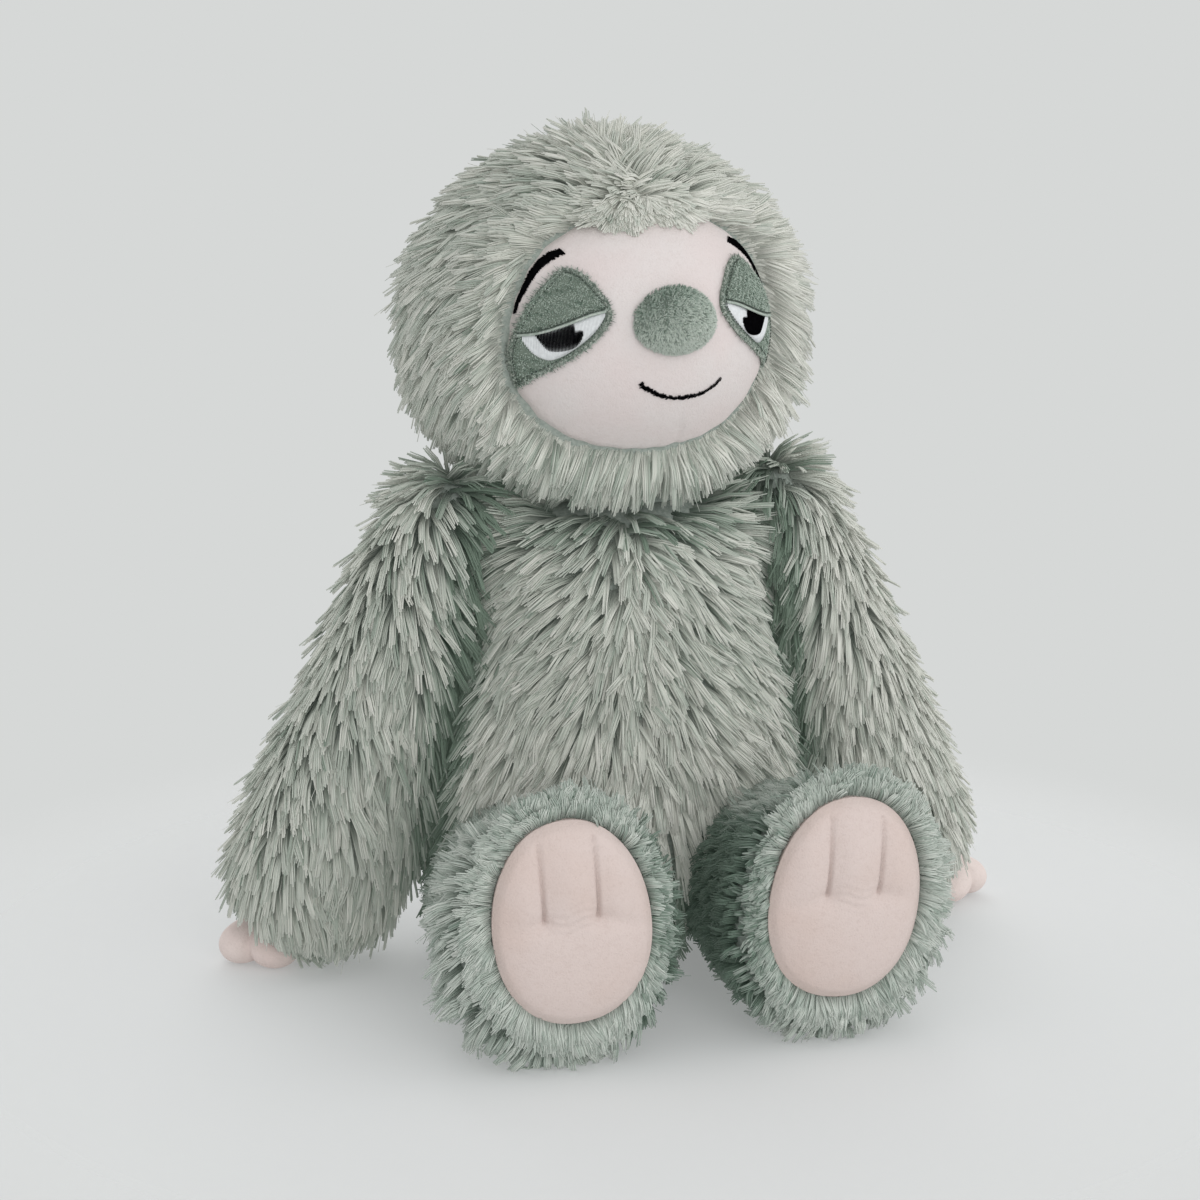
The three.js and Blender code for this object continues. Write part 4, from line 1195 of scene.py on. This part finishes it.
PUPIL = [
    (43.5, 2.6), (38.3, 4.8), (33.1, 7), (32.5, 5.4), (33.1, 4.2), (30.3, 4), (30.7, 0.5),
    (33.1, -2.3), (37.5, -3.5), (40.3, -3.1), (42, -1), (43.1, 1),
]
LID_LINE = [
    (22.6, 10.9), (27.8, 9.6), (31.6, 8.1), (35.6, 6.4), (40, 4.7), (44.2, 3.4), (48, 2.8),
]
BROW = [
    (49.1, 9.7), (48, 13.3), (46.1, 17.1), (43.8, 21.3), (41.2, 25.1), (38.4, 27.8), (35.4, 29.8),
    (32.2, 31.1),
]
BROW_WIDTHS = [0.8, 1.2, 1.6, 2.0, 2.3, 2.5, 2.7, 2.2]
MOUTH = [
    (-11.5, -16.3), (-8.8, -18.3), (-5.9, -20.1), (-2.5, -21.5), (1.1, -22.5), (6.3, -22.7),
    (10.1, -22.4), (13, -21.9), (17, -20.2), (19.4, -18.9), (21.1, -17.3),
]
MOUTH_WIDTHS = [2.0, 1.6, 1.4, 1.4, 1.4, 1.4, 1.2, 1.1, 0.9]
SATIN_THREAD = 0.27  # half the width of a thread in the filled shapes
FRINGE_THREADS = 340


def dashes(name, curve, spacing, length, rise, thread, mirror):
    """Running stitches: short threads one after another along a curve."""
    ahead = np.roll(curve, -1, axis=0) - curve
    ahead[-1] = ahead[-2]
    step = max(1, round(spacing / np.linalg.norm(ahead, axis=1).mean()))
    first, along = curve[::step] * mirror, unit(ahead[::step])
    second = (curve[::step] + along * length) * mirror
    satin(name, first, second, rise, thread, dark_thread, "green_felt", arch=0.15)


def within(outline, points):
    """Which points lie inside a closed outline: those with an odd number of its sides to
    their right."""
    rim, _ = smooth_loop(outline, 160)
    step = np.roll(rim, -1, axis=0) - rim
    x, z = points[:, :1], points[:, 1:]
    crossed = (rim[:, 1] > z) != (rim[:, 1] + step[:, 1] > z)
    at = rim[:, 0] + (z - rim[:, 1]) * step[:, 0] / np.where(step[:, 1] == 0, 1, step[:, 1])
    return (crossed & (x < at)).sum(1) % 2 == 1


NAP_THICKNESS = 0.17


def nap(name, roots, normals, flow, length, shade, look, slot):
    """Short fuzz: single bent strands that lean over along the flow. Places are in the frame
    of the head."""
    count = len(roots)
    flow = along_surface(flow, normals)
    flow = unit(flow + np.cross(normals, flow) * random.normal(0, 0.45, (count, 1)))
    angle = np.radians(random.normal(46, 13, (count, 1)))
    reach = (np.cos(angle) * flow + np.sin(angle) * normals) * length
    reach = reach * random.uniform(0.7, 1.25, (count, 1))
    bent = roots + reach * 0.55 + normals * length * 0.1
    paths = head_place(np.stack([roots, bent, roots + reach], 1))
    radii = NAP_THICKNESS * np.array([1, 0.95, 0]) * np.ones((count, 1))
    tone = np.clip(shade + random.normal(0, 0.12, count), 0, 1)
    points, faces, uv = rods(paths, radii, 3, tone)
    on_head(name, points, faces, look, slot, uv=uv)


def cloth_nap(name, outline, holes, rise, count, hand):
    """Fuzz over a flat shape of the face, apart from the shapes that lie on it."""
    low, high = np.min(outline, axis=0), np.max(outline, axis=0)
    spots = random.uniform(low, high, (count, 2))
    bare = np.any([within(hole, spots) for hole in holes] or [[False]], axis=0)
    spots = spots[within(outline, spots) & ~bare]
    x, z = spots[:, 0] * hand, spots[:, 1]
    level = np.full(len(x), rise)
    roots = on_face(x, z, level)
    normals = unit(on_face(x, z, level + 1) - roots)
    shade = 0.5 + 0.42 * waves(roots, 1.7, 21)[:, 0]
    flow = np.array([-0.3 * hand, 0, -1.0]) + 0.5 * waves(roots, 9, 23)
    nap(name, roots, normals, flow, 1.0, shade, lid_nap, "green_felt")


def filled(name, outline, spacing, shrink, mirror, rise, thread, material, slot, replaced, arch):
    """An outline filled with upright satin threads."""
    lower, upper = fill_edges(outline, spacing, shrink)
    satin(name, lower * mirror, upper * mirror, rise, thread, material, slot, replaced, arch)


def eye(hand, side):
    """From below to above: the cloth patch with its nap and fringe, the lid with its strip
    and stitches, the white and the pupil in satin stitch, and the eyebrow."""
    mirror = np.array([hand, 1.0])
    applique(f"eye_patch_cloth_{side}", EYE_PATCH, hand, 0.1, 0.8, lid_plush, "green_felt",
             f"eye_patch_{side}")
    applique(f"eyelid_cloth_{side}", EYELID, hand, 0.9, 0.75, lid_plush, "green_felt",
             f"eyelid_{side}")
    applique(f"eye_white_base_{side}", EYE_WHITE, hand, 0.9, 0.25, white_thread, "white_felt",
             shrink=0.2)
    filled(f"eye_white_satin_{side}", EYE_WHITE, 0.42, 0.1, mirror, 1.15, SATIN_THREAD,
           white_thread, "white_felt", f"eye_white_{side}", 0.12)
    filled(f"pupil_satin_{side}", PUPIL, 0.4, 0.05, mirror, 1.5, 0.28,
           black_thread, "black_thread", f"pupil_{side}", 0.2)
    cloth_nap(f"eye_patch_nap_{side}", EYE_PATCH, [EYELID, EYE_WHITE], 0.8, 5200, hand)
    cloth_nap(f"eyelid_nap_{side}", EYELID, [], 1.55, 3600, hand)
    rim, tangents = smooth_loop(EYE_PATCH, FRINGE_THREADS)
    inward = np.stack([-tangents[:, 1], tangents[:, 0]], -1)
    inward *= np.sign(dot(rim.mean(0) - rim, inward).mean())
    reach = random.uniform(0.3, 2.1, (FRINGE_THREADS, 1))
    reach = reach * random.uniform(0.3, 1, (FRINGE_THREADS, 1))
    slant = random.normal(0, 0.5, (FRINGE_THREADS, 1))
    first, second = rim + inward * 1.5 + tangents * 0.4, rim - inward * reach + tangents * slant
    satin(f"eye_patch_fringe_{side}", first * mirror, second * mirror, 1.0, 0.14,
          fringe_thread, "green_felt")
    dashes(f"eye_patch_stitches_{side}", rim + inward * 1.9, 1.05, 0.8, 1.6, 0.25, mirror)
    line, along = open_curve(LID_LINE, 90)
    below = np.stack([along[:, 1], -along[:, 0]], -1)
    below *= np.sign(-below[:, 1:])
    first, second = line + below * 0.35, line + below * 1.35 + along * 0.3
    satin(f"lid_strip_{side}", first * mirror, second * mirror, 1.9, 0.24,
          green_thread, "green_felt", arch=0.25)
    dashes(f"lid_stitches_{side}", line, 0.9, 0.75, 2.25, 0.26, mirror)
    first, second = stroke_edges(BROW, BROW_WIDTHS, 96, 0.22)
    satin(f"eyebrow_satin_{side}", first * mirror, second * mirror, 0.15, SATIN_THREAD,
          black_thread, "black_thread", f"eyebrow_{side}", 0.5)


for hand, side in SIDES:
    eye(hand, side)
satin("mouth_satin", *stroke_edges(MOUTH, MOUTH_WIDTHS, 66, 0.5), 0.15, SATIN_THREAD,
      black_thread, "black_thread", "mouth", 0.5)


NOSE_HALF = (15.2, 11.6, 8.6)  # half its width and height, and how far it stands out
NOSE_RAISE = 6.7  # how far its middle lies above the face's
NOSE_FUZZ = 5400


def nose_place(t, angle):
    """A flattened egg pressed on the face, fuller below, with its rim tucked in. t runs from
    its front to its back."""
    polar = t * np.pi
    ring = np.sin(polar) ** 0.9
    x = NOSE_HALF[0] * ring * np.cos(angle) + 1.6
    z = NOSE_HALF[1] * ring * np.sin(angle) - 0.6 * np.cos(angle) ** 2 - 0.9
    bulge = np.maximum(NOSE_HALF[2] * np.cos(polar), -0.3)
    foremost = FACE_CENTRE[1] - FACE_BULGE[1]
    face_fall = on_face(x, z + NOSE_RAISE, 0)[..., 1] - foremost
    y = foremost - bulge + 0.75 * face_fall
    return np.stack([x, y, z + NOSE_RAISE + FACE_CENTRE[2]], -1)


def nose_fuzz():
    """The nap of the nose runs out from its upper left, where it is painted darkest, as shade;
    it is painted lighter towards its lower right.
    """
    t = np.arcsin(np.sqrt(random.uniform(0, 1, NOSE_FUZZ)) ** 1.1) / np.pi * 1.08
    angle = random.uniform(0, 2 * np.pi, NOSE_FUZZ)
    roots, normals = nose_place(t, angle), -surface_normal(nose_place, t, angle)
    ring = np.sin(t * np.pi)
    place = np.stack([ring * np.cos(angle), 0 * t, ring * np.sin(angle)], -1)
    flow = place - np.array([-0.5, 0, 0.6]) + 0.5 * waves(roots, 7, 25)
    # Painted shade: darkest at the upper left, lighter towards the lower right.
    shade = 0.6 + 0.16 * place[:, 0] - 0.42 * place[:, 2] + 0.24 * waves(roots, 1.8, 27)[:, 0]
    nap("nose_nap", roots, normals, flow, 1.45, shade, nose_nap, "nose_plush")


nose_grid = head_place(nose_place(*ring_grid(np.linspace(0.02, 0.98, 40), 96)))[::-1]
padded_skin("nose_pad", nose_grid, "head", "nose", nose_plush)
nose_fuzz()


# Soles and paws

SOLE_HALF = (28.2, 37.0)
SOLE_CROWN = 7.6  # how far its middle stands out
SOLE_FRONT, SOLE_BACK = -122.2, -118.5
# Each line's ends, how strong it is at its start and how that changes along it, its depth, and
# the width of its valley
TOE_CHANNELS = [
    (((-10.4, 30), (-8.7, 2.2)), (0.45, 0.55), 2.5, 0.6),
    (((9.0, 30.5), (10.4, 3.9)), (0.45, 0.55), 2.5, 0.6),
]
SOLE_TUCKS = [
    (((-8.7, 2.2), (-26, -6)), (1, -0.8), 1.0, 2.6),
    (((10.4, 3.9), (27, 1.5)), (1, -0.8), 0.9, 2.4),
]


def sole_grid(hand):
    """A crowned pad. Two toe channels and the tucks at their ends are valleys: each lowers
    the pad by a narrow and a wide bell curve of the distance from its line."""
    edge = 0.9 + 0.1 * np.sin(np.linspace(0.1, 1, 12) * np.pi / 2)
    share, angle = ring_grid(np.concatenate([np.linspace(0.03, 0.9, 44), edge]), 144)
    wide, high = np.cos(angle), np.sin(angle)
    taper = 1 - 0.06 * high
    x = SOLE_HALF[0] * share * np.sign(wide) * np.abs(wide) ** 0.92 * taper
    z = SOLE_HALF[1] * share * np.sign(high) * np.abs(high) ** 0.95
    height = SOLE_CROWN * (1 - share**2.6) ** 0.62
    for place, rise in ((-19.0, 0.7), (-0.5, 1.0), (18.5, 0.8)):
        height = height + rise * np.exp(-((x - place) / 5.5)**2 - ((z - 15) / 11)**2)
    for ends, strengths, depth, width in TOE_CHANNELS + SOLE_TUCKS:
        (x0, z0), (x1, z1) = ends
        run = np.array([x1 - x0, z1 - z0])
        along = np.clip(((x - x0) * run[0] + (z - z0) * run[1]) / (run @ run), 0, 1)
        away = np.hypot(x - x0 - along * run[0], z - z0 - along * run[1])
        strength = depth * (strengths[0] + strengths[1] * along)
        height = height - strength * bell(away, width)
        height = height - 0.55 * strength * bell(away, width + 3.2)
    ripple = 0.16 * np.sin(z * 2.1 + 1.5 * np.sin(x * 0.5))
    ripple = ripple * np.exp(-((z - 3) / 5)**2 - (x / 11)**2)
    ripple = ripple - 0.5 * np.exp(-((z + 0.5) / 5)**2 - (x / 8)**2)
    height = (height + ripple) * smoothstep(1.02, 0.9, share) ** 0.4
    front = np.stack([x, SOLE_FRONT - height, z], -1)
    back = np.stack([x[::-1] * 0.985, np.full_like(x, SOLE_BACK), z[::-1] * 0.985], -1)
    grid = np.concatenate([front, back])[::-1]
    flat = turned(mirrored(grid.reshape(-1, 3), hand), (0, 1, 0), FOOT_ROLL * hand)
    grid = flat.reshape(grid.shape) + mirrored(FOOT_CENTRE, hand)
    return grid[::-1] if hand == RIGHT else grid


PAW_TURN = 56  # degrees that the fingers point to the front
PAW_BLEND = 1.7  # how softly the lobes run into each other
# The palm and two finger lobes: each one's middle and half sizes, ahead, beside and up
PAW_LOBES = [
    ((0, 0, 0), (14.6, 15.8, 8.4)),
    ((6, 7.6, -2), (8.5, 8, 7)),
    ((6.6, -8, -2.4), (8.5, 9, 6.6)),
]


def paw_grid(hand):
    """A flat mitten: along each direction from its middle, the soft maximum of how far the
    palm and the two finger lobes reach, with a dimple between the lobes."""
    t, angle = ring_grid(np.linspace(0.012, 0.988, 56), 96)
    level, ring = -np.cos(t * np.pi), np.sin(t * np.pi)
    ray = np.stack([ring * np.cos(angle), ring * np.sin(angle), level], -1)
    turn = math.radians(PAW_TURN)
    ahead = np.array([math.cos(turn), -math.sin(turn), 0])
    beside = np.array([math.sin(turn), math.cos(turn), 0])
    total = np.zeros(t.shape)
    for centre, half in PAW_LOBES:
        place = centre[0] * ahead + centre[1] * beside + np.array([0, 0, centre[2]])
        lobe_ray = np.stack([ray @ ahead, ray @ beside, ray[..., 2]], -1) / half
        lobe_centre = np.array([place @ ahead, place @ beside, place[2]]) / half
        a, b = (lobe_ray**2).sum(-1), lobe_ray @ lobe_centre
        root = b * b - a * (lobe_centre @ lobe_centre - 1)
        reach = np.where(root > 0, (b + np.sqrt(np.maximum(root, 0))) / a, 0)
        total += np.exp(reach / PAW_BLEND)
    points = ray * (PAW_BLEND * np.log(total))[..., None]
    dimple = bell(points @ beside - 0.2, 1.5) * smoothstep(4, 13, points @ ahead)
    points = points * (1 - 0.12 * dimple[..., None]) + PAW_PLACE
    points[..., 2] = np.maximum(points[..., 2], 0.25)
    if hand == RIGHT:
        return mirrored(points, RIGHT)[:, ::-1]
    return points + LEFT_PAW_SHIFT


for hand, side in SIDES:
    padded_skin(f"sole_pad_{side}", sole_grid(hand), f"leg_{side}", f"sole_{side}",
                sole_plush)
    padded_skin(f"paw_pad_{side}", paw_grid(hand), f"arm_{side}", f"paw_{side}",
                paw_plush)


# Floor, light and camera

FADE_START, FADE_END = 0.125, 0.36  # metres from the toy's middle
FLOOR_REACH, FLOOR_DEPTH = 1500.0, 4.0
BACKDROP = colour(214, 216, 215, 1)
SKY_STRENGTH = 0.83


def floor_look(tree):
    """Pale floor that glows faintly, as a lit table of milky glass does, and whose alpha falls
    off away from the toy, so that it melts into the backdrop."""
    place = object_place(tree)
    distance = node(tree, "ShaderNodeVectorMath", {"operation": "LENGTH"}, {0: place}, output=1)
    fade = node(tree, "ShaderNodeMapRange", {"interpolation_type": "SMOOTHSTEP"},
                {"Value": distance, 1: FADE_START, 2: FADE_END, 3: 1.0, 4: 0.0})
    return {
        "Base Color": colour(190, 191, 191, 1), "Roughness": 0.9, "Specular IOR Level": 0.1,
        "Alpha": fade,
        "Emission Color": (0.98, 1.0, 0.995, 1), "Emission Strength": 0.225,
    }


def floor_grid():
    """A wide round sheet just under the toy."""
    radius, angle = ring_grid(np.array([20, 200, 600, FLOOR_REACH, FLOOR_REACH, 20.0]), 96)
    height = -FLOOR_DEPTH * np.array([0, 0, 0, 0, 1, 1])[:, None] + np.zeros_like(radius)
    return np.stack([radius * np.cos(angle), radius * np.sin(angle), height], -1)[::-1]


floor = make_mesh("floor", *closed_grid(floor_grid()), surface("pale_floor", floor_look))


def area_light(name, place, target, size, power, tint):
    data = bpy.data.lights.new(name, "AREA")
    data.shape, data.size, data.energy, data.color = "DISK", size, power, tint
    light = bpy.data.objects.new(name, data)
    light.location = place
    light.rotation_euler = (Vector(target) - Vector(place)).to_track_quat("-Z", "Y").to_euler()
    bpy.context.scene.collection.objects.link(light)


area_light("front", (0.2, -2.8, 0.85), (0, 0, 0.14), size=2.4, power=30, tint=(1, 0.998, 0.998))
area_light("side", (2.3, -1.2, 1.7), (0, 0, 0.14), size=3.2, power=15, tint=(1, 1, 1))
area_light("back", (0.2, 1.8, 2.5), (0, 0, 0.16), size=2.2, power=16, tint=(1, 1, 1))

world = bpy.data.worlds.new("studio")
world.use_nodes = True
tree = world.node_tree
tree.nodes.clear()
camera_ray = node(tree, "ShaderNodeLightPath")
seen = node(tree, "ShaderNodeBackground", None, {"Color": BACKDROP, "Strength": 1.0})
light = node(tree, "ShaderNodeBackground", None,
             {"Color": (0.99, 0.995, 1.0, 1), "Strength": SKY_STRENGTH})
shown = node(tree, "ShaderNodeMixShader", None, {0: camera_ray, 1: light, 2: seen})
out = tree.nodes.new("ShaderNodeOutputWorld")
tree.links.new(shown.socket, out.inputs["Surface"])
bpy.context.scene.world = world
bpy.context.scene.view_settings.view_transform = "Standard"

CAMERA_AZIMUTH, CAMERA_ELEVATION, CAMERA_DISTANCE = math.radians(-15), math.radians(12), 0.9
TOY_MIDDLE = Vector((0, -0.02, 0.15))
AIM_LEFT, AIM_BELOW = 0.0122, 0.0034  # where the camera aims, seen from it, in metres
SENSOR_WIDTH = 36
PHOTO_PIXELS, FOCAL_PIXELS = 1200, 2358
towards = Vector((
    math.sin(CAMERA_AZIMUTH) * math.cos(CAMERA_ELEVATION),
    -math.cos(CAMERA_AZIMUTH) * math.cos(CAMERA_ELEVATION),
    math.sin(CAMERA_ELEVATION),
))
right = Vector((math.cos(CAMERA_AZIMUTH), math.sin(CAMERA_AZIMUTH), 0))
above = towards.cross(right)
aim = TOY_MIDDLE - right * AIM_LEFT - above * AIM_BELOW
camera_data = bpy.data.cameras.new("camera")
camera_data.sensor_width = SENSOR_WIDTH
camera_data.lens = SENSOR_WIDTH * FOCAL_PIXELS / PHOTO_PIXELS
camera_data.clip_start = 0.05
camera = bpy.data.objects.new("camera", camera_data)
camera.location = aim + towards * CAMERA_DISTANCE
camera.rotation_euler = (-towards).to_track_quat("-Z", "Y").to_euler()
bpy.context.scene.collection.objects.link(camera)
bpy.context.scene.camera = camera
